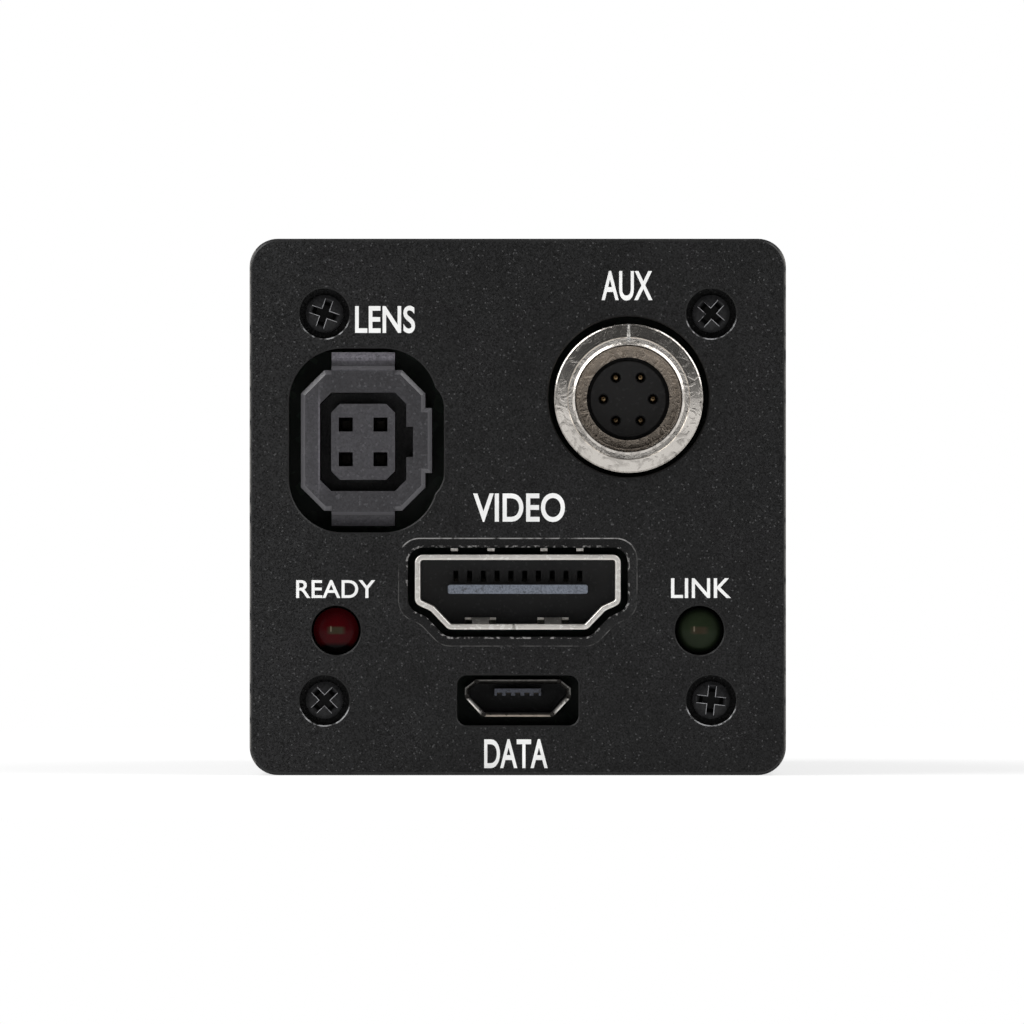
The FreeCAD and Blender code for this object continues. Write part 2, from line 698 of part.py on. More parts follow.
def filter_retainer():
    rear = filter_floor + FILTER_THICKNESS
    return tube(FILTER_D, FILTER_D - 2 * FILTER_RING_WALL, rear, rear + FILTER_RING_T)


def image_sensor():
    return block(SENSOR_W, SENSOR_H, sensor_rear, sensor_front)


def sensor_cover_glass():
    return block(SENSOR_W - 2 * COVER_GLASS_MARGIN, SENSOR_H - 2 * COVER_GLASS_MARGIN, sensor_front,
                 sensor_front + COVER_GLASS_T)


def sensor_gasket():
    margin = COVER_GLASS_MARGIN - WINDOW_MARGIN
    inner = block(SENSOR_W - 2 * margin, SENSOR_H - 2 * margin, sensor_front, web_rear)
    return block(SENSOR_W, SENSOR_H, sensor_front, web_rear).cut(inner)


def sensor_board():
    square = rectangle(SENSOR_BOARD_SIZE, SENSOR_BOARD_SIZE)
    board = prism(outline(square, SENSOR_BOARD_R), sensor_board_rear, sensor_rear)
    holes = []
    for sx, sz in corner_signs:
        holes.append(rod(SCREW_SHANK_D + 2 * SCREW_HOLE_GAP, sensor_board_rear, sensor_rear,
                         sx * sensor_screw_at, sz * sensor_screw_at))
    return board.cut(holes)


def sensor_board_screws():
    length = SENSOR_BOARD_T + SENSOR_SCREW_DEPTH
    screws = []
    for sx, sz in corner_signs:
        screws.append(cross_screw(sx * sensor_screw_at, sz * sensor_screw_at, sensor_board_rear, length, 1,
                                  SMALL_HEAD_D, SMALL_HEAD_H, 0))
    return group(screws)


def stacked_board(y_from, y_to):
    board = prism(cavity_outline(BOARD_EDGE_GAP), y_from, y_to)
    holes = []
    for sx, sz in corner_signs:
        holes.append(rod(SCREW_SHANK_D + 2 * SCREW_HOLE_GAP, y_from, y_to, sx * STANDOFF_X, sz * standoff_z))
    return board.cut(holes)


def processor_board():
    return stacked_board(processor_rear, processor_front)


def connector_board():
    return stacked_board(connector_rear, connector_front)


def processor_chip():
    return block(PROCESSOR_SIZE, PROCESSOR_SIZE, processor_front, processor_front + PROCESSOR_T)


def memory_chips():
    chips = []
    for side in (-1, 1):
        z = side * MEMORY_SPACING / 2
        chips.append(block(MEMORY_W, MEMORY_H, processor_rear - MEMORY_T, processor_rear, 0, z))
    return group(chips)


def link_plug(y_from, y_to):
    """Lower half of a stacking connector between two boards, standing on the front one."""
    return block(LINK_WIDTH, LINK_LENGTH, y_from, y_to, LINK_INSET)


def link_socket(y_from, y_to, overlap):
    """Upper half of a stacking connector, whose shell reaches over the plug."""
    width, length = LINK_WIDTH + 2 * LINK_SHELL, LINK_LENGTH + 2 * LINK_SHELL
    inner_w, inner_l = LINK_WIDTH + 2 * THREAD_GAP, LINK_LENGTH + 2 * THREAD_GAP
    hollow = block(inner_w, inner_l, y_to - overlap, y_to, LINK_INSET)
    return block(width, length, y_from, y_to, LINK_INSET).cut(hollow)


def sensor_link_plug():
    return link_plug((processor_front + sensor_board_rear) / 2, sensor_board_rear)


def sensor_link_socket():
    middle = (processor_front + sensor_board_rear) / 2
    return link_socket(processor_front, middle + LINK_WIDTH, LINK_WIDTH)


def panel_link_plug():
    return link_plug((connector_front + processor_rear) / 2, processor_rear)


def panel_link_socket():
    middle = (connector_front + processor_rear) / 2
    return link_socket(connector_front, middle + LINK_WIDTH, LINK_WIDTH)


def front_standoffs():
    posts = []
    for sx, sz in corner_signs:
        x, z = sx * STANDOFF_X, sz * standoff_z
        post = hex_post(x, z, processor_front, block_rear)
        post = post.fuse(rod(SCREW_SHANK_D, block_rear, block_rear + STANDOFF_STUD, x, z))
        posts.append(post.cut(rod(SCREW_SHANK_D + 2 * THREAD_GAP, processor_front,
                                  processor_front + STANDOFF_STUD, x, z)))
    return group(posts)


def rear_standoffs():
    posts = []
    for sx, sz in corner_signs:
        x, z = sx * STANDOFF_X, sz * standoff_z
        post = hex_post(x, z, connector_front, processor_rear)
        post = post.fuse(rod(SCREW_SHANK_D, processor_rear, processor_front + STANDOFF_STUD, x, z))
        posts.append(post.cut(rod(SCREW_SHANK_D + 2 * THREAD_GAP, connector_front,
                                  connector_front + STANDOFF_STUD, x, z)))
    return group(posts)


def connector_board_screws():
    length = BOARD_T + STANDOFF_STUD
    screws = []
    for sx, sz in corner_signs:
        screws.append(cross_screw(sx * STANDOFF_X, sz * standoff_z, connector_rear, length, 1,
                                  SMALL_HEAD_D, SMALL_HEAD_H, 0))
    return group(screws)


def video_socket_shell():
    front = panel_rear + VIDEO_SUNK
    outer = video_points()
    inner = moved_out(outer, -VIDEO_WALL)
    shell = prism(outline(outer, VIDEO_CORNER_R), front, connector_rear)
    shell = shell.cut(prism(outline(inner, VIDEO_CORNER_R - VIDEO_WALL), front, connector_rear))
    shell = shell.makeFillet(VIDEO_RIM_R, end_face(shell, front).Edges)
    holes = []
    low = VIDEO_Z - VIDEO_H / 2
    seam = [(VIDEO_SEAM_X - VIDEO_SEAM_W / 2, low), (VIDEO_SEAM_X + VIDEO_SEAM_W / 2, low),
            (VIDEO_SEAM_X, low + VIDEO_WALL)]
    holes.append(prism(outline(seam), front, front + VIDEO_WINDOW_START))
    start = front + VIDEO_WINDOW_START
    for x in video_window_xs():
        holes.append(block(video_window_w(), 2 * VIDEO_WALL, start, start + VIDEO_WINDOW_LENGTH, x, low))
    return shell.cut(holes).fuse(video_springs() + video_leaves()).removeSplitter()


def video_window_w():
    return (VIDEO_WINDOW_W - VIDEO_LEAF_W) / 2


def video_window_xs():
    """Middles of the openings in the floor of the shell, one on each side of each leaf."""
    reach = (VIDEO_LEAF_W + video_window_w()) / 2
    return [x + side * reach for x in VIDEO_WINDOW_XS for side in (-1, 1)]


def video_springs():
    """Leaves on the top of the shell that rise towards its mouth, short of the panel."""
    start = panel_rear + VIDEO_SUNK + VIDEO_SPRING_START
    bend = start + VIDEO_SPRING_LENGTH
    root = bend + VIDEO_SPRING_ROOT
    low = VIDEO_Z + VIDEO_H / 2
    high, crest = low + VIDEO_SPRING_T, low + VIDEO_SPRING_RISE
    side = [(start, crest - VIDEO_SPRING_T), (bend, low), (root, low)]
    side += [(root, high), (bend, high), (start, crest)]
    return [strip(side, x, VIDEO_SPRING_W) for x in VIDEO_SPRING_XS]


def video_leaves():
    """Leaves that bulge up from the floor of the shell to grip a plug, each between two upturned tips."""
    start = panel_rear + VIDEO_SUNK + VIDEO_WINDOW_START
    end = start + VIDEO_WINDOW_LENGTH
    third = VIDEO_WINDOW_LENGTH / 3
    low = VIDEO_Z - VIDEO_H / 2 + VIDEO_WALL
    crest = low + VIDEO_LEAF_RISE
    side = [(start, low), (start + third, crest), (end - third, crest), (end, low)]
    side += [(end, low - VIDEO_WALL / 2), (start, low - VIDEO_WALL / 2)]
    root = end + VIDEO_TIP_ROOT
    tip = [(end - third, crest - VIDEO_TIP_T), (end, low - VIDEO_TIP_T), (root, low - VIDEO_TIP_T)]
    tip += [(root, low), (end, low), (end - third, crest)]
    leaves = [strip(side, x, VIDEO_LEAF_W) for x in VIDEO_WINDOW_XS]
    return leaves + [strip(tip, x, VIDEO_TIP_W) for x in video_window_xs()]


def video_slot_xs():
    first = -(VIDEO_CONTACT_COUNT - 1) / 2 * VIDEO_CONTACT_PITCH
    return [first + i * VIDEO_CONTACT_PITCH for i in range(VIDEO_CONTACT_COUNT)]


def video_socket_tongue():
    front = panel_rear + VIDEO_SUNK
    lip_z = VIDEO_Z + VIDEO_TONGUE_RISE
    lip_top = lip_z + VIDEO_TONGUE_H / 2
    base_front = front + VIDEO_BASE_SUNK
    filling = moved_out(video_points(), -VIDEO_WALL - THREAD_GAP)
    tongue = prism(outline(filling, VIDEO_CORNER_R - VIDEO_WALL), base_front, connector_rear)
    blade = outline(rectangle(VIDEO_TONGUE_W, VIDEO_TONGUE_H, 0, lip_z), VIDEO_TONGUE_R)
    blade = prism(blade, front + VIDEO_TONGUE_SUNK, base_front)
    slots = []
    for x in video_slot_xs():
        slots.append(block(VIDEO_SLOT_W, VIDEO_SLOT_H, base_front, base_front + VIDEO_SLOT_DEPTH, x,
                           lip_top + VIDEO_SLOT_RISE + VIDEO_SLOT_H / 2))
    return tongue.fuse(blade).cut(slots)


def video_socket_contacts():
    base_front = panel_rear + VIDEO_SUNK + VIDEO_BASE_SUNK
    slot_low = VIDEO_Z + VIDEO_TONGUE_RISE + VIDEO_TONGUE_H / 2 + VIDEO_SLOT_RISE
    bars = []
    for x in video_slot_xs():
        bars.append(block(VIDEO_CONTACT_W, VIDEO_CONTACT_T, base_front + VIDEO_CONTACT_SUNK,
                          base_front + VIDEO_SLOT_DEPTH, x, slot_low + VIDEO_CONTACT_T / 2))
    return group(bars)


def service_socket_shell():
    front = panel_rear + SERVICE_SUNK
    outer = service_points()
    inner, mouth = moved_out(outer, -SERVICE_WALL), moved_out(outer, SERVICE_FLARE - SERVICE_WALL)
    holes = [prism(outline(inner), front, connector_rear)]
    holes.append(taper(outline(mouth), front, outline(inner), front + SERVICE_FLARE_DEPTH))
    middle = moved_out(outer, -SERVICE_WALL / 2)
    for x, z in middle[:1] + middle[2:-2] + middle[-1:]:
        holes.append(rod(SERVICE_NOTCH_D, front, front + SERVICE_NOTCH_DEPTH, x, z))
    return prism(outline(outer), front, connector_rear).cut(holes)


def service_contact_xs():
    first = -(SERVICE_CONTACT_COUNT - 1) / 2 * SERVICE_CONTACT_PITCH
    return [first + i * SERVICE_CONTACT_PITCH for i in range(SERVICE_CONTACT_COUNT)]


def service_socket_tongue():
    front = panel_rear + SERVICE_SUNK
    base_front = front + SERVICE_BASE_SUNK
    filling = moved_out(service_points(), -SERVICE_WALL - THREAD_GAP)
    blade = block(SERVICE_TONGUE_W, SERVICE_TONGUE_H, front + SERVICE_TONGUE_SUNK, base_front, 0,
                  SERVICE_Z + SERVICE_TONGUE_RISE)
    low = SERVICE_Z + SERVICE_TONGUE_RISE - SERVICE_TONGUE_H / 2
    grooves = []
    for x in service_contact_xs():
        grooves.append(block(SERVICE_GROOVE_W, SERVICE_GROOVE_H, front + SERVICE_TONGUE_SUNK, base_front, x,
                             low + SERVICE_GROOVE_H / 2))
    return prism(outline(filling), base_front, connector_rear).fuse(blade.cut(grooves))


def service_socket_contacts():
    front = panel_rear + SERVICE_SUNK
    groove_top = SERVICE_Z + SERVICE_TONGUE_RISE - SERVICE_TONGUE_H / 2 + SERVICE_GROOVE_H
    bars = []
    for x in service_contact_xs():
        bars.append(block(SERVICE_CONTACT_W, SERVICE_CONTACT_T,
                          front + SERVICE_TONGUE_SUNK + SERVICE_CONTACT_SUNK, front + SERVICE_BASE_SUNK, x,
                          groove_top - SERVICE_CONTACT_T / 2))
    return group(bars)


def lens_pin_places():
    half = LENS_PIN_PITCH / 2
    return [(sx * half - LENS_SOCKET_X, lens_cavity_z + sz * half) for sx, sz in corner_signs]


def lens_socket_outline():
    """Corner points of the housing face, with the rib on its right side."""
    x, z = -LENS_SOCKET_X, lens_socket_z
    points = octagon(LENS_SOCKET_W, LENS_SOCKET_H, LENS_SOCKET_CORNER, x, z)
    side, rib = x + LENS_SOCKET_W / 2, x + LENS_SOCKET_W / 2 + LENS_RIB_REACH
    low, high = z - LENS_RIB_H / 2, z + LENS_RIB_H / 2
    return points[:4] + [(side, low), (rib, low), (rib, high), (side, high)] + points[4:]


def lens_socket_tab(up):
    """Latch tab at the top (up = 1) or the foot (up = -1), stepped down from the face and sloping away."""
    front = panel_rear + LENS_SOCKET_SUNK
    edge = LENS_SOCKET_H / 2
    ledge, reach = edge + LENS_TAB_LEDGE, edge + LENS_TAB_REACH + up * LENS_TAB_RISE
    step = front + LENS_TAB_BEVEL + LENS_TAB_STEP
    side = [(connector_rear, edge - LENS_SOCKET_CORNER), (front, edge - LENS_SOCKET_CORNER)]
    side += [(front, ledge - LENS_TAB_BEVEL), (front + LENS_TAB_BEVEL, ledge), (step, ledge)]
    side += [(step + LENS_TAB_SLOPE, reach), (connector_rear, reach)]
    return strip([(y, lens_socket_z + up * z) for y, z in side], -LENS_SOCKET_X, LENS_TAB_W)


def lens_socket_housing():
    front = panel_rear + LENS_SOCKET_SUNK
    bevel_y = front + LENS_SOCKET_BEVEL_DEPTH
    body = lens_socket_outline()
    crown = taper(outline(moved_out(body, -LENS_SOCKET_BEVEL)), front, outline(body), bevel_y)
    housing = prism(outline(body), bevel_y, connector_rear)
    housing = housing.fuse([crown, lens_socket_tab(1), lens_socket_tab(-1)]).removeSplitter()
    floor_y = front + LENS_CAVITY_DEPTH
    x, z = -LENS_SOCKET_X, lens_cavity_z
    cavity = prism(outline(octagon(LENS_CAVITY_W, LENS_CAVITY_H, LENS_CAVITY_CORNER, x, z)), front, floor_y)
    key = block(LENS_CAVITY_W + LENS_KEY_DEPTH, LENS_KEY_H, front, floor_y, x + LENS_KEY_DEPTH / 2, z)
    island_w, island_h = LENS_CAVITY_W - 2 * LENS_ISLAND_GAP, LENS_CAVITY_H - 2 * LENS_ISLAND_GAP
    island = prism(outline(octagon(island_w, island_h, LENS_ISLAND_CORNER, x, z)), front, floor_y)
    holes = [cavity.fuse(key).cut(island)]
    for pin_x, pin_z in lens_pin_places():
        holes.append(block(LENS_PIN_HOLE, LENS_PIN_HOLE, front, floor_y, pin_x, pin_z))
    return housing.cut(holes)


def lens_socket_contacts():
    front = panel_rear + LENS_SOCKET_SUNK
    floor_y = front + LENS_CAVITY_DEPTH
    pins = []
    for x, z in lens_pin_places():
        pins.append(block(LENS_CONTACT, LENS_CONTACT, front + LENS_CONTACT_SUNK, floor_y, x, z))
    return group(pins)


def control_socket_shell():
    front = panel_rear - CONTROL_PROUD
    floor_y = front + CONTROL_BORE_DEPTH
    ledge_y = front + CONTROL_LEDGE_DEPTH
    rim_y = front + CONTROL_FACE_SLOPE
    outer, stem, bore = CONTROL_D / 2, CONTROL_STEM_D / 2, CONTROL_BORE_D / 2
    face_in, step = CONTROL_FACE_IN_D / 2, CONTROL_STEP_D / 2
    land, mouth, recess = CONTROL_LAND_D / 2, CONTROL_MOUTH_D / 2, CONTROL_RECESS_D / 2
    land_y = front + CONTROL_STEP
    stem_y = connector_rear - CONTROL_STEM
    profile = [(recess, connector_rear), (stem, connector_rear), (stem, stem_y), (outer, stem_y)]
    profile += [(outer, rim_y + RIM_BREAK), (outer - RIM_BREAK, rim_y), (face_in, front)]
    profile += [(step, land_y), (land, land_y), (mouth, land_y + CONTROL_BEVEL), (mouth, ledge_y)]
    profile += [(bore, ledge_y), (bore, floor_y), (recess, floor_y)]
    shell = turned(profile, CONTROL_X, CONTROL_Z)
    key_top = bore + CONTROL_KEY_REACH
    half_top, half_low = CONTROL_KEY_W / 2, CONTROL_KEY_W / 2 + 2 * CONTROL_KEY_REACH
    key = [(-half_low, recess), (half_low, recess), (half_top, key_top), (-half_top, key_top)]
    key = prism(outline([(CONTROL_X + x, CONTROL_Z + z) for x, z in key]), ledge_y, floor_y)
    half_mark = CONTROL_MARK_W / 2
    mark = [Vector(-half_mark, 0, 0), Vector(half_mark, 0, 0), Vector(0, CONTROL_MARK_DEPTH, 0)]
    mark = Part.Face(Part.makePolygon(mark + mark[:1])).extrude(Vector(0, 0, outer - step))
    mark.translate(spot(CONTROL_X, CONTROL_Z + step, front))
    return shell.cut([key, mark])


def control_pin_places():
    places = []
    for i in range(CONTROL_PIN_COUNT):
        angle = 2 * math.pi * i / CONTROL_PIN_COUNT
        radius = CONTROL_PIN_CIRCLE_D / 2
        places.append((CONTROL_X + radius * math.cos(angle), CONTROL_Z + radius * math.sin(angle)))
    return places


def control_core_front():
    return panel_rear - CONTROL_PROUD + CONTROL_BORE_DEPTH + CONTROL_CORE_SUNK


def control_socket_insert():
    core_front = control_core_front()
    base_front = core_front + CONTROL_RECESS_DEPTH
    recess, core = CONTROL_RECESS_D / 2 - THREAD_GAP, CONTROL_CORE_D / 2
    profile = [(0, connector_rear), (recess, connector_rear), (recess, base_front), (core, base_front)]
    insert = turned(profile + [(core, core_front), (0, core_front)], CONTROL_X, CONTROL_Z)
    holes = []
    for x, z in control_pin_places():
        holes.append(rod(CONTROL_DIMPLE_D, core_front, core_front + CONTROL_DIMPLE_DEPTH, x, z))
        holes.append(rod(CONTROL_PIN_D + 2 * THREAD_GAP, core_front, connector_rear, x, z))
    return insert.cut(holes)


def control_socket_pins():
    front = control_core_front() + CONTROL_PIN_SUNK
    rim, radius = front + CONTROL_PIN_TIP, CONTROL_PIN_D / 2
    pins = []
    for x, z in control_pin_places():
        profile = [(radius, rim), (radius, connector_rear), (0, connector_rear), (0, front)]
        pin = spun([dome(radius, rim, -CONTROL_PIN_TIP)] + runs(profile))
        pin.translate(Vector(x, 0, z))
        pins.append(pin)
    return group(pins)


def lamp(side):
    """Round indicator lamp with a low dome, standing on its spacer."""
    radius = LAMP_D / 2
    tip = panel_rear + LAMP_SUNK
    rim, end = tip + LAMP_DOME, tip + LAMP_LENGTH
    body = spun([dome(radius, rim, -LAMP_DOME)] + runs([(radius, rim), (radius, end), (0, end), (0, tip)]))
    body.translate(Vector(side * LAMP_X, 0, LAMP_Z))
    return body


def power_lamp():
    return lamp(-1)


def signal_lamp():
    return lamp(1)


def lamp_lead_places(side):
    return [(side * LAMP_X + end * LAMP_LEAD_PITCH / 2, LAMP_Z) for end in (-1, 1)]


def lamp_spacers():
    spacers = []
    rear = panel_rear + LAMP_SUNK + LAMP_LENGTH
    for side in (-1, 1):
        spacer = rod(LAMP_SPACER_D, rear, connector_rear, side * LAMP_X, LAMP_Z)
        bores = []
        for x, z in lamp_lead_places(side):
            bores.append(rod(LAMP_LEAD_D + 2 * LAMP_LEAD_GAP, rear, connector_rear, x, z))
        spacers.append(spacer.cut(bores))
    return group(spacers)


def lamp_leads():
    rear = panel_rear + LAMP_SUNK + LAMP_LENGTH
    leads = []
    for side in (-1, 1):
        for x, z in lamp_lead_places(side):
            leads.append(rod(LAMP_LEAD_D, rear, connector_rear, x, z))
    return group(leads)


def lock_y():
    return ring_rear + LOCK_SCREW_FROM_REAR


def guide_pin_y():
    return collar_front + GUIDE_PIN_FROM_COLLAR


def lens_barrel():
    bore, body = CELL_D / 2 + CELL_FIT, BARREL_D / 2
    thread, collar = mount_thread_d / 2 - MOUNT_THREAD_GAP, collar_d / 2
    groove = body - LOCK_GROOVE_DEPTH
    groove_rear, groove_front = lock_y() - LOCK_GROOVE_W / 2, lock_y() + LOCK_GROOVE_W / 2
    profile = [(bore, barrel_rear), (thread, barrel_rear), (thread, flange_y), (collar, flange_y)]
    profile += [(collar, collar_front), (body, collar_front), (body, groove_rear), (groove, groove_rear)]
    profile += [(groove, groove_front), (body, groove_front), (body, barrel_front), (bore, barrel_front)]
    width = GUIDE_PIN_D + 2 * GUIDE_PIN_GAP
    slot_rear = guide_pin_y() - GUIDE_PIN_GAP
    slot_front = guide_pin_y() + FOCUS_TRAVEL + GUIDE_PIN_GAP
    slot = [block(width, body, slot_rear, slot_front, 0, -body / 2)]
    for y in (slot_rear, slot_front):
        slot.append(Part.makeCylinder(width / 2, body, spot(0, 0, y), Vector(0, 0, -1)))
    return turned(profile).cut(slot)


def lock_direction():
    angle = math.radians(LOCK_SCREW_ANGLE)
    return Vector(math.cos(angle), 0, math.sin(angle))


def focus_ring():
    outer, over_barrel = focus_ring_d / 2, BARREL_D / 2 + FOCUS_RING_FIT
    over_cell = CELL_THREAD_D / 2 + FOCUS_RING_FIT
    profile = [(over_barrel, ring_rear), (outer, ring_rear), (outer, ring_front - EDGE_BREAK)]
    profile += [(outer - EDGE_BREAK, ring_front), (over_cell, ring_front), (over_cell, ring_step)]
    ring = turned(profile + [(over_barrel, ring_step)])
    grip_front = ring_front - GRIP_FRONT_MARGIN
    cuts = []
    for i in range(GRIP_COUNT):
        groove = block(2 * GRIP_DEPTH, GRIP_WIDTH, grip_front - GRIP_LENGTH, grip_front, outer)
        groove.rotate(spot(0, 0), Vector(0, 1, 0), 360 * i / GRIP_COUNT)
        cuts.append(groove)
    lock_r = LOCK_SCREW_D / 2 + LOCK_SCREW_FIT
    cuts.append(Part.makeCylinder(lock_r, outer, spot(0, 0, lock_y()), lock_direction()))
    return ring.cut(cuts)


def focus_lock_screw():
    direction = lock_direction()
    tip = BARREL_D / 2 - LOCK_GROOVE_DEPTH + LOCK_TIP_GAP
    head = focus_ring_d / 2 + LOCK_HEAD_GAP
    centre = spot(0, 0, lock_y())
    shank = Part.makeCylinder(LOCK_SCREW_D / 2, head - tip, centre + direction * tip, direction)
    knob = Part.makeCylinder(LOCK_HEAD_D / 2, LOCK_HEAD_H, centre + direction * head, direction)
    knob = knob.makeChamfer(EDGE_BREAK, knob.Edges)
    screw = shank.fuse(knob).removeSplitter()
    notches = []
    stand = FreeCAD.Placement(centre + direction * head, FreeCAD.Rotation(Vector(0, 0, 1), direction))
    for i in range(LOCK_KNURL_COUNT):
        notch = Part.makeBox(LOCK_KNURL_DEPTH, LOCK_KNURL_DEPTH, LOCK_HEAD_H)
        notch.translate(Vector(LOCK_HEAD_D / 2 - LOCK_KNURL_DEPTH, -LOCK_KNURL_DEPTH / 2, 0))
        notch.rotate(Vector(0, 0, 0), Vector(0, 0, 1), 360 * i / LOCK_KNURL_COUNT)
        notch.Placement = stand.multiply(notch.Placement)
        notches.append(notch)
    return screw.cut(notches)


def lens_cell():
    slim, thread = CELL_D / 2, CELL_THREAD_D / 2
    step = barrel_front + CELL_STEP_GAP
    rear, middle = REAR_GLASS_D / 2 + GLASS_FIT, MIDDLE_GLASS_D / 2 + GLASS_FIT
    front, bore = FRONT_GLASS_D / 2 + GLASS_FIT, CELL_BORE_D / 2
    profile = [(rear, cell_rear), (slim, cell_rear), (slim, step), (thread, step)]
    profile += [(thread, cell_front - EDGE_BREAK), (thread - EDGE_BREAK, cell_front), (front, cell_front)]
    profile += [(front, front_floor), (middle, front_floor), (middle, stop_y), (bore, stop_y)]
    profile += [(bore, rear_floor), (rear, rear_floor)]
    hole = Part.makeCylinder(GUIDE_PIN_D / 2 + THREAD_GAP, GUIDE_PIN_DEPTH,
                             spot(0, GUIDE_PIN_DEPTH - slim, guide_pin_y()), Vector(0, 0, -1))
    return turned(profile).cut(hole)


def cell_guide_pin():
    inner, outer = CELL_D / 2 - GUIDE_PIN_DEPTH, BARREL_D / 2 - GUIDE_PIN_TOP_GAP
    return Part.makeCylinder(GUIDE_PIN_D / 2, outer - inner, spot(0, -inner, guide_pin_y()), Vector(0, 0, -1))


def glass(diameter, rim, rear_y, front_y, rear_rise, front_rise):
    """Round lens element with a flat rim; the rises are measured along Y."""
    radius = diameter / 2
    edges = [dome(rim, rear_y, rear_rise), dome(rim, front_y, front_rise)]
    edges += runs([(rim, rear_y), (radius, rear_y), (radius, front_y), (rim, front_y)])
    edges += runs([(0, front_y + front_rise), (0, rear_y + rear_rise)])
    return spun(edges)


def front_glass():
    rim = FRONT_GLASS_D / 2 - FRONT_RING_WALL - FRONT_GLASS_HOLLOW
    return glass(FRONT_GLASS_D, rim, front_floor, front_floor + FRONT_GLASS_EDGE,
                 FRONT_GLASS_HOLLOW, FRONT_GLASS_DOME)


def front_retaining_ring():
    rear = front_floor + FRONT_GLASS_EDGE
    return tube(FRONT_GLASS_D, FRONT_GLASS_D - 2 * FRONT_RING_WALL, rear, rear + FRONT_RING_T)


def glass_spacer():
    rear = middle_glass_y + MIDDLE_GLASS_EDGE
    return tube(MIDDLE_GLASS_D, MIDDLE_GLASS_D - 2 * SPACER_WALL, rear, front_floor)


def middle_glass():
    rim = MIDDLE_GLASS_D / 2 - SPACER_WALL
    return glass(MIDDLE_GLASS_D, rim, middle_glass_y, middle_glass_y + MIDDLE_GLASS_EDGE,
                 MIDDLE_GLASS_DOME, MIDDLE_GLASS_DOME)


def aperture_stop():
    return tube(MIDDLE_GLASS_D, STOP_HOLE_D, stop_y, middle_glass_y)


def rear_glass():
    rim = REAR_GLASS_D / 2 - REAR_RING_WALL
    return glass(REAR_GLASS_D, rim, rear_glass_y, rear_floor, -REAR_GLASS_DOME, -REAR_GLASS_DOME)


def rear_retaining_ring():
    return tube(REAR_GLASS_D, REAR_GLASS_D - 2 * REAR_RING_WALL, rear_glass_y - REAR_RING_T, rear_glass_y)


pieces = [
    rear_panel, rear_panel_screws, housing_sleeve, front_block, front_block_screws, lens_mount_ring,
    mount_ring_set_screws, ir_filter, filter_retainer, image_sensor, sensor_cover_glass, sensor_gasket,
    sensor_board, sensor_board_screws, processor_board, processor_chip, memory_chips, sensor_link_plug,
    sensor_link_socket, panel_link_plug, panel_link_socket, front_standoffs, rear_standoffs, connector_board,
    connector_board_screws, video_socket_shell, video_socket_tongue, video_socket_contacts,
    service_socket_shell, service_socket_tongue, service_socket_contacts, lens_socket_housing,
    lens_socket_contacts, control_socket_shell, control_socket_insert, control_socket_pins, power_lamp,
    signal_lamp, lamp_spacers, lamp_leads, lens_barrel, focus_ring, focus_lock_screw, lens_cell,
    cell_guide_pin, front_glass, front_retaining_ring, glass_spacer, middle_glass, aperture_stop,
    rear_glass, rear_retaining_ring,
]

os.makedirs("parts", exist_ok=True)
for piece in pieces:
    piece().exportStep("parts/" + piece.__name__ + ".step")
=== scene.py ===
import json
import math
import bpy
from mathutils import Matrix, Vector


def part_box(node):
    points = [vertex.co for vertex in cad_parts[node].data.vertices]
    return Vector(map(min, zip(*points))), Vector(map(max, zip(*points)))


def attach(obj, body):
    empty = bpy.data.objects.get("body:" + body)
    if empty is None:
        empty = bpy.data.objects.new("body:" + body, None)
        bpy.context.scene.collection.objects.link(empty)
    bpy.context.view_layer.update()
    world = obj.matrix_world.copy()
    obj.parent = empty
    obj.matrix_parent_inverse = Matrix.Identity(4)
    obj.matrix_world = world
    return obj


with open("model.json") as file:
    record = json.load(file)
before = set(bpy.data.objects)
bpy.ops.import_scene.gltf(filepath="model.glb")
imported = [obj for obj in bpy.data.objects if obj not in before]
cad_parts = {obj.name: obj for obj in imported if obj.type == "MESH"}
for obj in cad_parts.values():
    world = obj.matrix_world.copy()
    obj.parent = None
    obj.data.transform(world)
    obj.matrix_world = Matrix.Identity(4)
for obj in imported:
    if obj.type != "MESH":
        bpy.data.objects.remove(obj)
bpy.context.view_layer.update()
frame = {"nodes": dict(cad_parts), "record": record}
nodes = frame["nodes"]
mm = 0.001
panelLow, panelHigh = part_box("rear_panel")
panelFace = panelLow.y
axisZ = (panelLow.z + panelHigh.z) / 2
print("frame loaded with", len(nodes), "nodes")


# small helpers for objects and node trees

def addObject(name, data):
    piece = bpy.data.objects.new(name, data)
    bpy.context.scene.collection.objects.link(piece)
    return piece


def frozenMesh(piece):  # the mesh that a text or a modifier makes
    bpy.context.view_layer.update()
    return bpy.data.meshes.new_from_object(piece.evaluated_get(bpy.context.evaluated_depsgraph_get()))


def midPoint(node):
    low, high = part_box(node)
    return (low + high) / 2


def addNode(tree, kind, **settings):
    node = tree.nodes.new(kind)
    for key, value in settings.items():
        setattr(node, key, value)
    return node


def setInput(node, name, value):
    node.inputs[name].default_value = value


def plug(tree, socket, value):  # a link for a socket, a plain value for the rest
    if hasattr(value, "is_output"):
        tree.links.new(value, socket)
    else:
        socket.default_value = value


def mathNode(tree, operation, first, second=0.0, clamp=False):
    node = addNode(tree, "ShaderNodeMath", operation=operation, use_clamp=clamp)
    plug(tree, node.inputs[0], first)
    plug(tree, node.inputs[1], second)
    return node.outputs[0]


def inverse(tree, value):  # 1 minus the value
    return mathNode(tree, "SUBTRACT", 1.0, value)


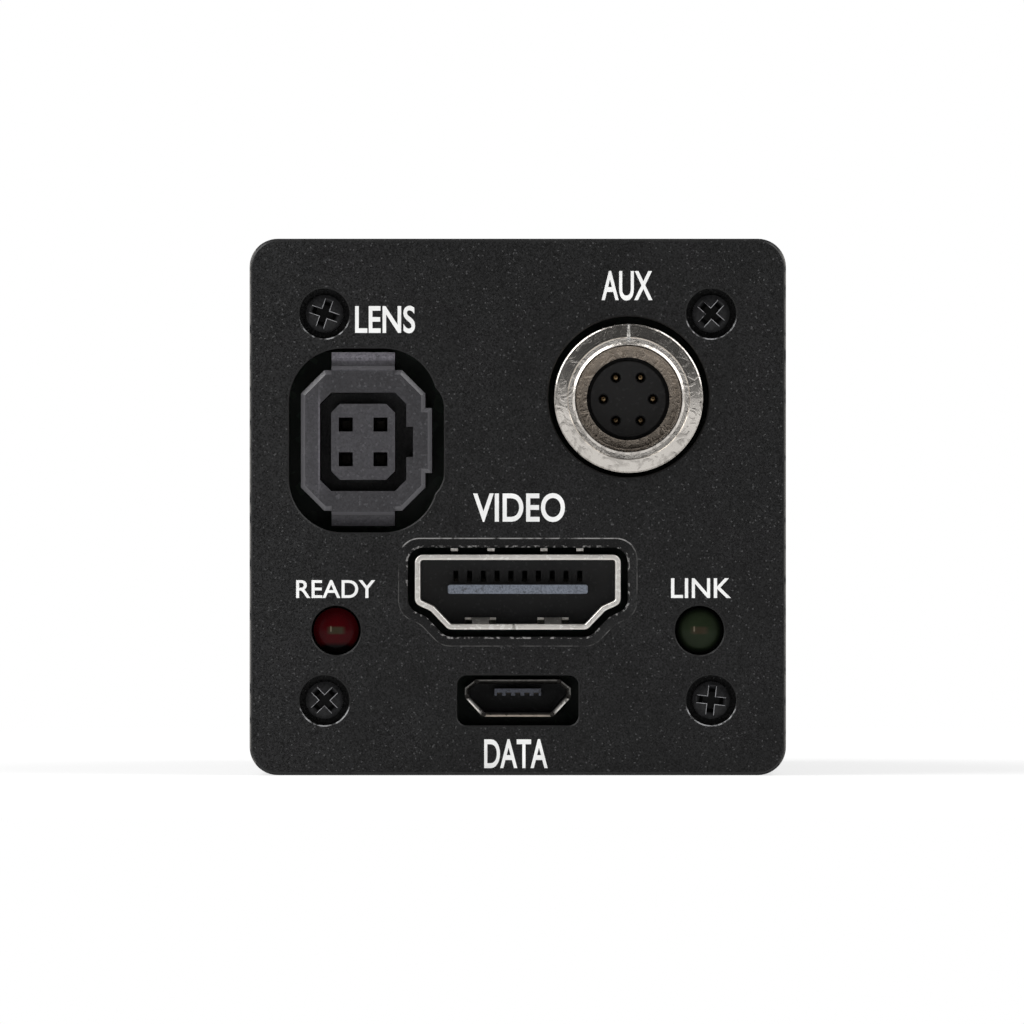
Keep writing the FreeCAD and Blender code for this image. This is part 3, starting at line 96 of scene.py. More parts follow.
def rampNode(tree, source, low, high):  # 0 below low, 1 above high
    node = addNode(tree, "ShaderNodeMapRange", clamp=True)
    plug(tree, node.inputs["Value"], source)
    plug(tree, node.inputs["From Min"], low)
    plug(tree, node.inputs["From Max"], high)
    return node.outputs["Result"]


mixSocket = {"factor": 0, "first": 6, "second": 7, "result": 2}  # of a Mix node set to colours


def mixColor(tree, factor, first, second, blend="MIX"):
    node = addNode(tree, "ShaderNodeMix", data_type="RGBA", blend_type=blend)
    plug(tree, node.inputs[mixSocket["factor"]], factor)
    for label, value in (("first", first), ("second", second)):
        plug(tree, node.inputs[mixSocket[label]], (*value, 1) if isinstance(value, tuple) else value)
    return node.outputs[mixSocket["result"]]


def noiseNode(tree, coords, scale, detail=2.0):
    node = addNode(tree, "ShaderNodeTexNoise")
    tree.links.new(coords, node.inputs["Vector"])
    plug(tree, node.inputs["Scale"], scale)
    setInput(node, "Detail", detail)
    return node.outputs[0]


def newGroup(name, inputs, outputs):
    group = bpy.data.node_groups.new(name, "ShaderNodeTree")
    for label, value in inputs.items():
        group.interface.new_socket(label, in_out="INPUT", socket_type="NodeSocketFloat").default_value = value
    for label in outputs:
        group.interface.new_socket(label, in_out="OUTPUT", socket_type="NodeSocketFloat")
    return group, addNode(group, "NodeGroupInput").outputs, addNode(group, "NodeGroupOutput").inputs


def useGroup(tree, group, **values):
    node = addNode(tree, "ShaderNodeGroup", node_tree=group)
    for label, value in values.items():
        setInput(node, label, value)
    return node.outputs


def objectCoords(tree):
    return addNode(tree, "ShaderNodeTexCoord").outputs["Object"]


def objectAxis(tree, output, axis):  # one axis of the place or the normal on the piece
    split = addNode(tree, "ShaderNodeSeparateXYZ")
    tree.links.new(addNode(tree, "ShaderNodeTexCoord").outputs[output], split.inputs[0])
    return split.outputs[axis]


def scaled(color, gain):
    return tuple(gain * channel for channel in color)


# shared surface effects
grainLook = {
    "detail": 3.0,
    "toneScale": 420, "toneFrom": 0.3, "toneTo": 0.7,  # slow change of tone over a surface
    "shades": (0.82, 1.0),  # darkest and palest share of a plain colour
    "speckleTone": 0.3,  # part of a speckle's tone that follows the slow change
    "blotchScale": 2600, "blotchDetail": 4.0, "blotchFrom": 0.05, "blotchTo": 0.6,
    "roughSpread": 0.3,
    "bumpDepth": 0.02 * mm,
}
turnLook = {
    "ringDetail": 2, "ringScale": 1.0,
    "streaks": {"Scale": 900, "Detail": 6, "Distortion": 2.5},
    "streakFrom": 0.5, "streakTo": 0.64,
    "lineRough": 0.14, "lineSmooth": 0.06,
    "scratchTone": 0.4, "scratchRough": 0.06,
    "bumpDepth": 0.01 * mm,
}
wearAndLightLook = {
    "flatSoft": 0.02, "steepSoft": 0.05,  # soft ends of the marked slopes, worn ones and those with painted light and shade
    "detail": 4.0, "contrast": 7.0,  # of the patches where the coat is gone, and where painted light and shade show
    "leanFrom": -0.3, "leanTo": -0.15,
}
bandSoft = 0.3  # soft part of a band's half width, each way


def buildGrain():  # fine sprayed or moulded grain with light flecks
    group, source, result = newGroup("coatGrain", {"Scale": 9000, "Fleck": 0.8, "Sharp": 6.0},
                                     ("Flecks", "Height", "Tone", "Cell"))
    coords = objectCoords(group)
    cells = addNode(group, "ShaderNodeTexVoronoi", feature="F1")
    group.links.new(coords, cells.inputs["Vector"])
    group.links.new(source["Scale"], cells.inputs["Scale"])
    split = addNode(group, "ShaderNodeSeparateColor")
    group.links.new(cells.outputs["Color"], split.inputs[0])
    over = mathNode(group, "SUBTRACT", split.outputs["Red"], source["Fleck"])
    flecks = mathNode(group, "MULTIPLY", over, source["Sharp"], True)
    group.links.new(flecks, result["Flecks"])
    group.links.new(split.outputs["Green"], result["Cell"])
    pits = noiseNode(group, coords, source["Scale"], grainLook["detail"])
    group.links.new(mathNode(group, "ADD", pits, flecks), result["Height"])
    group.links.new(noiseNode(group, coords, grainLook["toneScale"], grainLook["detail"]), result["Tone"])
    return group


def buildTurning():  # fine lathe rings round a line along Y, and stray scratches
    group, source, result = newGroup("turnedLines", {"CentreX": 0.0, "CentreZ": 0.0, "Pitch": 16000.0},
                                     ("Lines", "Scratches"))
    split = addNode(group, "ShaderNodeSeparateXYZ")
    coords = objectCoords(group)
    group.links.new(coords, split.inputs[0])
    dx = mathNode(group, "SUBTRACT", split.outputs["X"], source["CentreX"])
    dz = mathNode(group, "SUBTRACT", split.outputs["Z"], source["CentreZ"])
    square = mathNode(group, "ADD", mathNode(group, "MULTIPLY", dx, dx), mathNode(group, "MULTIPLY", dz, dz))
    radius = mathNode(group, "SQRT", square)
    rings = addNode(group, "ShaderNodeTexNoise", noise_dimensions="1D")
    setInput(rings, "Detail", turnLook["ringDetail"])
    setInput(rings, "Scale", turnLook["ringScale"])
    group.links.new(mathNode(group, "MULTIPLY", radius, source["Pitch"]), rings.inputs["W"])
    group.links.new(rings.outputs[0], result["Lines"])
    streaks = addNode(group, "ShaderNodeTexNoise")
    for label, value in turnLook["streaks"].items():
        setInput(streaks, label, value)
    group.links.new(coords, streaks.inputs["Vector"])
    scratches = rampNode(group, streaks.outputs[0], turnLook["streakFrom"], turnLook["streakTo"])
    group.links.new(scratches, result["Scratches"])
    return group


def buildWearAndLight():  # bevels that face the rear or the front, down to a depth below a face: worn ones, and ones with painted highlights and painted shade
    group, source, result = newGroup("edgeWearAndLight", {"FaceY": 0.0, "Depth": 1.0, "Scale": 1500.0, "Keep": 0.45,
                                                  "Flat": 0.95, "Steep": 0.35, "Outside": 0.0, "Under": 0.0}, ("Wear",))
    slope = mathNode(group, "ABSOLUTE", objectAxis(group, "Normal", "Y"))
    flat, steep = source["Flat"], source["Steep"]
    level = rampNode(group, slope, mathNode(group, "SUBTRACT", flat, wearAndLightLook["flatSoft"]),
                     mathNode(group, "ADD", flat, wearAndLightLook["flatSoft"]))
    tilted = rampNode(group, slope, steep, mathNode(group, "ADD", steep, wearAndLightLook["steepSoft"]))
    bevel = mathNode(group, "SUBTRACT", tilted, level)
    below = mathNode(group, "SUBTRACT", objectAxis(group, "Object", "Y"), source["FaceY"])
    near = mathNode(group, "LESS_THAN", mathNode(group, "ABSOLUTE", below), source["Depth"])
    patches = noiseNode(group, objectCoords(group), source["Scale"], wearAndLightLook["detail"])
    showing = mathNode(group, "SUBTRACT", patches, source["Keep"])
    broken = mathNode(group, "MULTIPLY", showing, wearAndLightLook["contrast"], True)
    across = mathNode(group, "ABSOLUTE", objectAxis(group, "Object", "X"))
    out = mathNode(group, "GREATER_THAN", across, source["Outside"])
    under = source["Under"]  # 1 for faces that look down only, -1 for those that look up, 0 for both
    height = mathNode(group, "MULTIPLY", objectAxis(group, "Normal", "Z"), under)
    lean = rampNode(group, height, wearAndLightLook["leanFrom"], wearAndLightLook["leanTo"])
    facing = inverse(group, mathNode(group, "MULTIPLY", lean, mathNode(group, "ABSOLUTE", under)))
    place = mathNode(group, "MULTIPLY", mathNode(group, "MULTIPLY", bevel, near), out)
    place = mathNode(group, "MULTIPLY", place, facing)
    group.links.new(mathNode(group, "MULTIPLY", place, broken), result["Wear"])
    return group


coatGrain = buildGrain()
turnedLines = buildTurning()
edgeWearAndLight = buildWearAndLight()


def nearLine(tree, axis, middle, half):  # 1 within a soft-edged band along one axis
    offset = mathNode(tree, "ABSOLUTE", mathNode(tree, "SUBTRACT", objectAxis(tree, "Object", axis), middle))
    return inverse(tree, rampNode(tree, offset, (1 - bandSoft) * half, (1 + bandSoft) * half))


def patchMask(tree, centre, patch):
    x = nearLine(tree, "X", centre.x + patch["x"] * mm, patch["width"] / 2 * mm)
    return mathNode(tree, "MULTIPLY", x, nearLine(tree, "Z", centre.z + patch["z"] * mm, patch["height"] / 2 * mm))


def paintPatch(tree, shade, place, patch):  # a colour of its own, or a gain on the one that is there
    if "gain" in patch:
        return mixColor(tree, place, shade, (patch["gain"], patch["gain"], patch["gain"]), "MULTIPLY")
    return mixColor(tree, place, shade, patch["color"])


def endToneAndLight(tree, shade, tip):  # an end in a tone of its own, from one place along Y to another, and patches on it; on the screws, the lens socket and the service socket these are painted light and painted shade
    endMask = inverse(tree, rampNode(tree, objectAxis(tree, "Object", "Y"), tip["from"], tip["to"]))
    if "color" in tip:
        scale = tip.get("blotch", grainLook["blotchScale"])
        spots = noiseNode(tree, objectCoords(tree), scale, grainLook["blotchDetail"])
        blotch = rampNode(tree, spots, grainLook["blotchFrom"], grainLook["blotchTo"])
        shade = mixColor(tree, mathNode(tree, "MULTIPLY", endMask, blotch), shade, tip["color"])
    for patch in tip.get("patches", ()):
        place = mathNode(tree, "MULTIPLY", endMask, patchMask(tree, tip["centre"], patch))
        shade = paintPatch(tree, shade, place, patch)
    return shade


def wearAndLightMask(tree, edge):
    wearAndLightShare = useGroup(tree, edgeWearAndLight, **edge["where"])["Wear"]
    if "spots" not in edge:
        return wearAndLightShare
    inside = 0.0
    for spot in edge["spots"]:  # marked nowhere else
        inside = mathNode(tree, "MAXIMUM", patchMask(tree, edge["centre"], spot), inside)
    return mathNode(tree, "MULTIPLY", wearAndLightShare, inside)


# kinds of material

def newMaterial(name, color, roughness, metallic=0.0, specular=0.5):
    material = bpy.data.materials.new(name)
    material.use_nodes = True
    shader = material.node_tree.nodes["Principled BSDF"]
    setInput(shader, "Base Color", (*color, 1))
    setInput(shader, "Roughness", roughness)
    setInput(shader, "Metallic", metallic)
    setInput(shader, "Specular IOR Level", specular)
    return material, material.node_tree, shader


def addBump(tree, shader, height, strength, distance):
    bump = addNode(tree, "ShaderNodeBump")
    setInput(bump, "Strength", strength)
    setInput(bump, "Distance", distance)
    tree.links.new(height, bump.inputs["Height"])
    tree.links.new(bump.outputs[0], shader.inputs["Normal"])


def grainedMaterial(name, color, fleckColor, roughness, scale, fleck, bump, metallic=0.0, specular=0.5,
                    wearAndLight=(), tip=None, speckle=None, sharp=6.0, paintedSideLight=None):
    material, tree, shader = newMaterial(name, color, roughness, metallic, specular)
    grain = useGroup(tree, coatGrain, Scale=scale, Fleck=fleck, Sharp=sharp)
    low, high = speckle or grainLook["shades"]
    share = rampNode(tree, grain["Tone"], grainLook["toneFrom"], grainLook["toneTo"])
    if speckle:  # every grain has a tone of its own
        slow = mathNode(tree, "MULTIPLY", share, grainLook["speckleTone"])
        share = mathNode(tree, "MULTIPLY", grain["Cell"], mathNode(tree, "ADD", slow, 1 - grainLook["speckleTone"]))
    if paintedSideLight:  # painted light, paler towards one side
        side = inverse(tree, rampNode(tree, objectAxis(tree, "Object", "X"), paintedSideLight["from"], paintedSideLight["to"]))
        lift = mathNode(tree, "ADD", mathNode(tree, "MULTIPLY", side, paintedSideLight["gain"]), 1.0)
        share = mathNode(tree, "MULTIPLY", share, lift)
    shade = mixColor(tree, share, scaled(color, low), scaled(color, high))
    if tip:
        shade = endToneAndLight(tree, shade, tip)
    shade = mixColor(tree, grain["Flecks"], shade, fleckColor)
    uneven = mathNode(tree, "MULTIPLY", grain["Tone"], grainLook["roughSpread"])
    rough = mathNode(tree, "ADD", uneven, roughness - grainLook["roughSpread"] / 2)
    for edge in wearAndLight:
        wearAndLightShare = wearAndLightMask(tree, edge)
        shade = mixColor(tree, wearAndLightShare, shade, edge["color"])
        rough = mathNode(tree, "SUBTRACT", rough, mathNode(tree, "MULTIPLY", wearAndLightShare, edge["polish"]))
    tree.links.new(shade, shader.inputs["Base Color"])
    tree.links.new(rough, shader.inputs["Roughness"])
    addBump(tree, shader, grain["Height"], bump, grainLook["bumpDepth"])
    return material


def turnedMaterial(name, color, darkColor, roughness, centre, bump, inside=None, dents=0.0):
    material, tree, shader = newMaterial(name, color, roughness, 1.0)
    lines = useGroup(tree, turnedLines, CentreX=centre.x, CentreZ=centre.z)
    scratches = lines["Scratches"]
    shade = mixColor(tree, mathNode(tree, "MULTIPLY", scratches, turnLook["scratchTone"]), color, darkColor)
    if inside:  # painted shade low on the face, brass-toned plating with painted shade down in the bore, and a painted highlight on the key mark
        shade = paintPatch(tree, shade, patchMask(tree, centre, inside["low"]), inside["low"])
        depth = rampNode(tree, objectAxis(tree, "Object", "Y"), inside["from"], inside["to"])
        shade = mixColor(tree, depth, shade, inside["color"])
        shade = paintPatch(tree, shade, patchMask(tree, centre, inside["mark"]), inside["mark"])
    tree.links.new(shade, shader.inputs["Base Color"])
    uneven = mathNode(tree, "MULTIPLY", lines["Lines"], turnLook["lineRough"])
    rough = mathNode(tree, "ADD", uneven, roughness - turnLook["lineSmooth"])
    rough = mathNode(tree, "ADD", rough, mathNode(tree, "MULTIPLY", scratches, turnLook["scratchRough"]))
    tree.links.new(rough, shader.inputs["Roughness"])
    height = mathNode(tree, "ADD", lines["Lines"], mathNode(tree, "MULTIPLY", scratches, dents))
    addBump(tree, shader, height, bump, turnLook["bumpDepth"])
    return material


lampLook = {
    "roughness": 0.22, "specular": 0.06,
    "hazeScale": 900, "hazeFrom": 0.35, "hazeTo": 0.75, "hazeShade": 0.8,
    "footBelow": 0.06, "footAbove": 0.03, "rimSoft": 0.015,  # soft ends of the painted shade at the foot and round the rim
    "inside": [  # a chip seen through the lens and a small pale bar beside it, mm from its middle
        {"x": 0.0, "z": 0.0, "width": 1.1, "height": 0.5, "color": (0.026, 0.021, 0.013)},
        {"x": -0.37, "z": 0.1, "width": 0.1, "height": 0.36, "color": (0.1, 0.085, 0.06)},
    ],
}


def lampMaterial(name, node, color, footRimShade, foot, rim):  # tinted epoxy, with painted shade at its foot and round its rim
    material, tree, shader = newMaterial(name, color, lampLook["roughness"], specular=lampLook["specular"])
    cloud = noiseNode(tree, objectCoords(tree), lampLook["hazeScale"])
    haze = rampNode(tree, cloud, lampLook["hazeFrom"], lampLook["hazeTo"])
    shade = mixColor(tree, haze, scaled(color, lampLook["hazeShade"]), color)
    for patch in lampLook["inside"]:
        shade = paintPatch(tree, shade, patchMask(tree, midPoint(node), patch), patch)
    lit = rampNode(tree, objectAxis(tree, "Normal", "Z"), foot - lampLook["footBelow"], foot + lampLook["footAbove"])
    slope = mathNode(tree, "ABSOLUTE", objectAxis(tree, "Normal", "Y"))
    face = rampNode(tree, slope, rim - lampLook["rimSoft"], rim + lampLook["rimSoft"])
    tree.links.new(mixColor(tree, mathNode(tree, "MULTIPLY", lit, face), footRimShade, shade), shader.inputs["Base Color"])
    return material


glassLook = {
    "roughness": 0.02, "specular": 0.1,  # bloomed, so it reflects little
    "body": {"Transmission Weight": 1.0, "IOR": 1.6, "Coat Weight": 0.25},
    "markScale": 500, "markDetail": 5.0, "markFrom": 0.55, "markTo": 0.9,  # faint wiping marks
}


def glassMaterial(name, tint, coat):
    material, tree, shader = newMaterial(name, tint, glassLook["roughness"], specular=glassLook["specular"])
    for label, value in glassLook["body"].items():
        setInput(shader, label, value)
    setInput(shader, "Coat Tint", (*coat, 1))
    wiped = noiseNode(tree, objectCoords(tree), glassLook["markScale"], glassLook["markDetail"])
    marks = rampNode(tree, wiped, glassLook["markFrom"], glassLook["markTo"])
    tree.links.new(mathNode(tree, "MULTIPLY", marks, glassLook["roughness"]), shader.inputs["Roughness"])
    return material


# worn edges and ends in tones of their own, with painted highlights and painted shade on edges, holes and sockets
bareEdge = [{"where": {"Keep": 0.52}, "color": (0.06, 0.06, 0.06), "polish": 0.12}]
mouthDepth = 0.35 * mm  # of the bevel round the video socket
mouthSlope = {"Flat": 0.97, "Steep": 0.84}  # of the same bevel
rimSlope = {"Flat": 0.84}  # of broken hole rims and the panel's outer bevel
panelSide = 18.55 * mm  # from here on a bevel is the panel's outer one
screwHead = {"radius": 1.325, "spot": 5.0}  # mm
screwLow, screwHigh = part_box("rear_panel_screws")
screwTop = screwLow.y
screwAt = screwHigh.x / mm - screwHead["radius"]
screwSpots = [{"x": sx * screwAt, "z": sz * screwAt, "width": screwHead["spot"], "height": screwHead["spot"]}
              for sx in (-1, 1) for sz in (-1, 1)]


def mouthShade(under):  # painted shade on the upper or lower bevel of the video mouth
    return {"where": {"FaceY": panelFace + mouthDepth / 2, "Depth": 0.2 * mm, **mouthSlope, "Keep": 0.36,
                      "Scale": 9000, "Under": under},
            "color": (0.0032, 0.0032, 0.0034), "polish": -0.1}


panelEdges = [
    # hole rims
    {"where": {"FaceY": panelFace, "Depth": 0.1 * mm, **rimSlope, "Keep": 0.3},
     "color": (0.013, 0.013, 0.013), "polish": 0.3},
    # video mouth: painted shade on its bevel, the line round it, a painted highlight on the upper part of that line,
    # the line inside it
    mouthShade(1.0),
    mouthShade(-1.0),
    {"where": {"FaceY": panelFace, "Depth": 0.035 * mm, **mouthSlope, "Keep": 0.42},
     "color": (0.05, 0.049, 0.048), "polish": 0.25},
    {"where": {"FaceY": panelFace, "Depth": 0.04 * mm, **mouthSlope, "Keep": 0.36, "Under": 1.0},
     "color": (0.24, 0.235, 0.23), "polish": 0.25},
    {"where": {"FaceY": panelFace + mouthDepth, "Depth": 0.07 * mm, **mouthSlope, "Keep": 0.52, "Scale": 3800},
     "color": (0.22, 0.215, 0.21), "polish": 0.25},
    # outer bevel
    {"where": {"FaceY": panelFace + 0.2 * mm, "Depth": 0.1 * mm, **rimSlope, "Keep": 0.36, "Scale": 900,
               "Outside": panelSide},
     "color": (0.12, 0.115, 0.108), "polish": 0.2},
    # painted highlight on the lower rims of the screw holes, where they face up
    {"where": {"FaceY": panelFace, "Depth": 0.1 * mm, **rimSlope, "Keep": 0.44, "Scale": 1900, "Under": -1.0},
     "color": (0.26, 0.26, 0.265), "polish": 0.25, "centre": Vector((0, 0, axisZ)), "spots": screwSpots},
]
panelPaintedLight = {"from": -18.5 * mm, "to": -3 * mm, "gain": 0.45}  # painted light along X, paler on the left
# pale edges of the rear screws' cross recesses: a painted highlight
crossEdgeHighlight = [{"where": {"FaceY": screwTop + 0.15 * mm, "Depth": 0.3 * mm, "Flat": 0.88, "Steep": 0.645, "Keep": 0.3},
              "color": (0.3, 0.3, 0.31), "polish": 0.05}]
# screw heads in their own black down to a depth, the cross recesses below near black: painted shade
screwRecessShade = {"from": screwTop + 0.3 * mm, "to": screwTop + 0.42 * mm, "color": (0.019, 0.019, 0.02), "blotch": 5000}
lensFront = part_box("lens_socket_housing")[0].y
lensMiddleX = -10.96 * mm  # of the lens socket without its rib
# paler, smoother bevels of the lens socket: a painted highlight
socketEdgeHighlight = [{"where": {"FaceY": lensFront, "Depth": 0.3 * mm, "Keep": 0.2},
               "color": (0.084, 0.082, 0.088), "polish": 0.16}]
lensSocketLight = {  # painted shade on the lens socket's upper, lower and right walls, painted light on its upper tab and a painted highlight on its left bevel
    "from": lensFront + 3 * mm, "to": lensFront + 4 * mm,
    "centre": Vector((lensMiddleX, 0, midPoint("lens_socket_housing").z)),
    "patches": [
        {"x": 0.0, "z": 4.0, "width": 6.2, "height": 1.9, "gain": 0.66},
        {"x": 0.0, "z": -4.4, "width": 6.2, "height": 1.7, "gain": 0.7},
        {"x": 3.9, "z": -0.1, "width": 2.0, "height": 9.5, "gain": 0.7},
        {"x": 0.0, "z": 5.02, "width": 6.6, "height": 0.3, "gain": 1.8},
        {"x": 0.0, "z": 5.95, "width": 6.6, "height": 1.1, "gain": 2.4},
        {"x": 0.0, "z": 6.1, "width": 6.6, "height": 0.9, "gain": 3.0},
        {"x": -3.12, "z": -0.1, "width": 0.14, "height": 6.5, "gain": 2.2},
    ],
}
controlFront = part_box("control_socket_shell")[0].y
# brass-toned plating and painted shade down in the bore, painted shade low on the ring's face, a painted highlight on
# the key mark
boreBrassAndShade = {
    "from": controlFront + 0.14 * mm, "to": controlFront + 0.6 * mm, "color": (0.36, 0.31, 0.26),
    "mark": {"x": 0.0, "z": 4.75, "width": 0.26, "height": 1.2, "color": (0.97, 0.96, 0.94)},
    "low": {"x": 0.0, "z": -3.9, "width": 11.0, "height": 4.4, "gain": 0.76},
}
shellTone = (0.74, 0.71, 0.67)
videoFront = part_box("video_socket_shell")[0].y
videoRub = {  # rim of the video socket with the seam in its foot
    "from": videoFront + 0.5 * mm, "to": videoFront + 0.6 * mm, "color": shellTone,
    "centre": midPoint("video_socket_shell"),
    "patches": [{"x": -0.3, "z": -2.65, "width": 0.13, "height": 0.9, "color": (0.03, 0.028, 0.026)}],
}
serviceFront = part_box("service_socket_shell")[0].y
serviceRimLight = {  # rim of the service socket, paler than the shell behind it, with painted highlights on its lower diagonals and bottom edge
    "from": serviceFront + 0.02 * mm, "to": serviceFront + 0.26 * mm, "color": (0.17, 0.165, 0.155),
    "centre": midPoint("service_socket_shell"),
    "patches": [
        {"x": -3.03, "z": -0.52, "width": 1.2, "height": 0.95, "color": (0.93, 0.9, 0.85)},
        {"x": 3.1, "z": -0.52, "width": 1.2, "height": 0.95, "color": (0.93, 0.9, 0.85)},
        {"x": 0.0, "z": -1.22, "width": 4.9, "height": 0.2, "color": (0.5, 0.44, 0.37)},
    ],
}


def tongueTip(node, color):  # a paler front end of a socket's tongue
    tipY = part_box(node)[0].y
    return {"from": tipY + 0.02 * mm, "to": tipY + 0.12 * mm, "color": color, "blotch": 9000}


# finishes, one for each slot of the record

def bodyCoat(name, wearAndLight, paintedSideLight=None):
    return grainedMaterial(name, (0.0071, 0.0071, 0.0073), (0.05, 0.05, 0.051), roughness=0.6, scale=10500, fleck=0.97,
                           bump=0.5, specular=0.2, wearAndLight=wearAndLight, speckle=(0.05, 2.3), sharp=40, paintedSideLight=paintedSideLight)


def tinShell(name, tip=None):
    return grainedMaterial(name, shellTone, (0.86, 0.84, 0.8), roughness=0.45, scale=5200, fleck=0.75, bump=0.3,
                           metallic=1.0, tip=tip)


def socketPlastic(name, wearAndLight=(), tip=None):
    return grainedMaterial(name, (0.037, 0.0355, 0.04), (0.075, 0.074, 0.08), roughness=0.4, scale=7500, fleck=0.9,
                           bump=0.4, specular=0.45, wearAndLight=wearAndLight, tip=tip, speckle=(0.75, 1.3))


def tonguePlastic(name, color, fleckColor, tip=None):
    return grainedMaterial(name, color, fleckColor, roughness=0.5, scale=6500, fleck=0.88, bump=0.2, specular=0.3,
                           tip=tip)


finishes = {
    "body_black": bodyCoat("bodyCoat", bareEdge),
    "screw_black": grainedMaterial("screwBlack", (0.01, 0.01, 0.011), (0.022, 0.022, 0.022), roughness=0.36,
                                   scale=7000, fleck=0.92, bump=0.2),
    "lens_black": grainedMaterial("lensAnodised", (0.012, 0.012, 0.013), (0.022, 0.022, 0.023), roughness=0.45,
                                  scale=12000, fleck=0.85, bump=0.15, specular=0.35, wearAndLight=bareEdge),
    "mount_steel": turnedMaterial("mountSteel", (0.52, 0.52, 0.53), (0.4, 0.4, 0.41), roughness=0.3,
                                  centre=midPoint("lens_mount_ring"), bump=0.2),
    "standoff_brass": turnedMaterial("standoffBrass", (0.6, 0.42, 0.16), (0.45, 0.3, 0.11), roughness=0.3,
                                     centre=midPoint("rear_standoffs"), bump=0.2),
    "gasket_rubber": grainedMaterial("gasketRubber", (0.012, 0.012, 0.012), (0.02, 0.02, 0.02), roughness=0.8,
                                     scale=5000, fleck=0.9, bump=0.3),
    "board_green": grainedMaterial("boardGreen", (0.004, 0.03, 0.012), (0.02, 0.06, 0.03), roughness=0.4,
                                   scale=1500, fleck=0.75, bump=0.1),
    "chip_black": grainedMaterial("chipBlack", (0.015, 0.015, 0.016), (0.03, 0.03, 0.03), roughness=0.55,
                                  scale=7000, fleck=0.85, bump=0.2),
    "link_plastic": grainedMaterial("linkPlastic", (0.02, 0.02, 0.02), (0.03, 0.03, 0.03), roughness=0.5,
                                    scale=6000, fleck=0.9, bump=0.15),
    "shell_tin": tinShell("shellTin"),
    "tongue_black": tonguePlastic("tongueBlack", (0.019, 0.019, 0.02), (0.034, 0.034, 0.036)),
    "socket_grey": socketPlastic("socketGrey"),
    "control_nickel": turnedMaterial("controlNickel", (0.74, 0.7, 0.65), (0.24, 0.22, 0.2), roughness=0.21,
                                     centre=midPoint("control_socket_shell"), bump=0.3, inside=boreBrassAndShade, dents=3.0),
    "contact_gold": turnedMaterial("contactGold", (0.22, 0.155, 0.085), (0.15, 0.1, 0.05), roughness=0.22,
                                   centre=midPoint("control_socket_pins"), bump=0.1),
    "lead_tin": grainedMaterial("leadTin", (0.6, 0.6, 0.6), (0.75, 0.75, 0.75), roughness=0.35, scale=5000,
                                fleck=0.8, bump=0.2, metallic=1.0),
    "lamp_red": lampMaterial("lampRed", "power_lamp", (0.034, 0.0012, 0.0022), (0.001, 0.0005, 0.0006),
                             foot=-0.3, rim=0.8),
    "lamp_green": lampMaterial("lampGreen", "signal_lamp", (0.013, 0.019, 0.0095), (0.002, 0.003, 0.002),
                               foot=-0.42, rim=0.9),
    "optic_glass": glassMaterial("opticGlass", (0.58, 0.62, 0.72), (0.6, 0.55, 1.0)),
}
# contacts in the sockets, their metal painted dark as shade
contactShade = grainedMaterial("contactShade", (0.05, 0.045, 0.04), (0.09, 0.08, 0.06), roughness=0.5, scale=6000,
                              fleck=0.9, bump=0.1, metallic=1.0)
ownFinish = {  # nodes whose look is more than their slot's
    "rear_panel": bodyCoat("panelCoat", panelEdges, panelPaintedLight),
    "lens_socket_housing": socketPlastic("lensSocket", socketEdgeHighlight, lensSocketLight),
    "lens_socket_contacts": contactShade,
    "video_socket_contacts": contactShade,
    "service_socket_contacts": contactShade,
    # the service shell's dark tin is painted shade inside it
    "service_socket_shell": grainedMaterial("serviceShell", (0.05, 0.047, 0.044), (0.1, 0.095, 0.09), roughness=0.4,
                                            scale=5200, fleck=0.85, bump=0.3, metallic=1.0, tip=serviceRimLight),
    "video_socket_shell": tinShell("videoShell", videoRub),
    "video_socket_tongue": tonguePlastic("videoTongue", (0.022, 0.022, 0.024), (0.036, 0.036, 0.038),
                                         tongueTip("video_socket_tongue", (0.165, 0.185, 0.225))),
    "service_socket_tongue": tonguePlastic("serviceTongue", (0.02, 0.02, 0.021), (0.036, 0.036, 0.038),
                                           tongueTip("service_socket_tongue", (0.07, 0.075, 0.095))),
    # its near-black base colour is painted shade in the cross recesses
    "rear_panel_screws": grainedMaterial("rearScrews", (0.001, 0.001, 0.001), (0.004, 0.004, 0.004), roughness=0.36,
                                         scale=7000, fleck=0.92, bump=0.2, specular=0.14, wearAndLight=crossEdgeHighlight,
                                         tip=screwRecessShade),
}
slotOf = {part["node"]: part["material_slot"] for part in frame["record"]["subparts"]}
for name, piece in nodes.items():
    piece.data.materials.clear()
    piece.data.materials.append(ownFinish.get(name, finishes[slotOf[name]]))
print("finishes set:", len(finishes) + len(ownFinish))


# white print: legends on the panel, numbers on the focus ring
printInk = grainedMaterial("printInk", (0.84, 0.84, 0.83), (0.7, 0.7, 0.7), roughness=0.6, scale=9000, fleck=0.95,
                           bump=0.2)
curveSteps = 6  # along each curve of a letter


def textMesh(text, weight):  # letters as a mesh, x from -0.5 to 0.5 and y from 0 to 1, and their width to height
    curve = bpy.data.curves.new("print" + text, "FONT")
    curve.body = text
    curve.offset = weight
    curve.resolution_u = curveSteps
    holder = addObject("printText", curve)
    mesh = frozenMesh(holder)
    bpy.data.objects.remove(holder)
    xs = [v.co.x for v in mesh.vertices]
    ys = [v.co.y for v in mesh.vertices]
    width, height = max(xs) - min(xs), max(ys) - min(ys)
    left, foot = min(xs), min(ys)
    for v in mesh.vertices:
        v.co.x = (v.co.x - left) / width - 0.5
        v.co.y = (v.co.y - foot) / height
    return mesh, width / height


def addPrint(name, mesh, body):
    mesh.materials.clear()
    mesh.materials.append(printInk)
    piece = addObject(name, mesh)
    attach(piece, body)


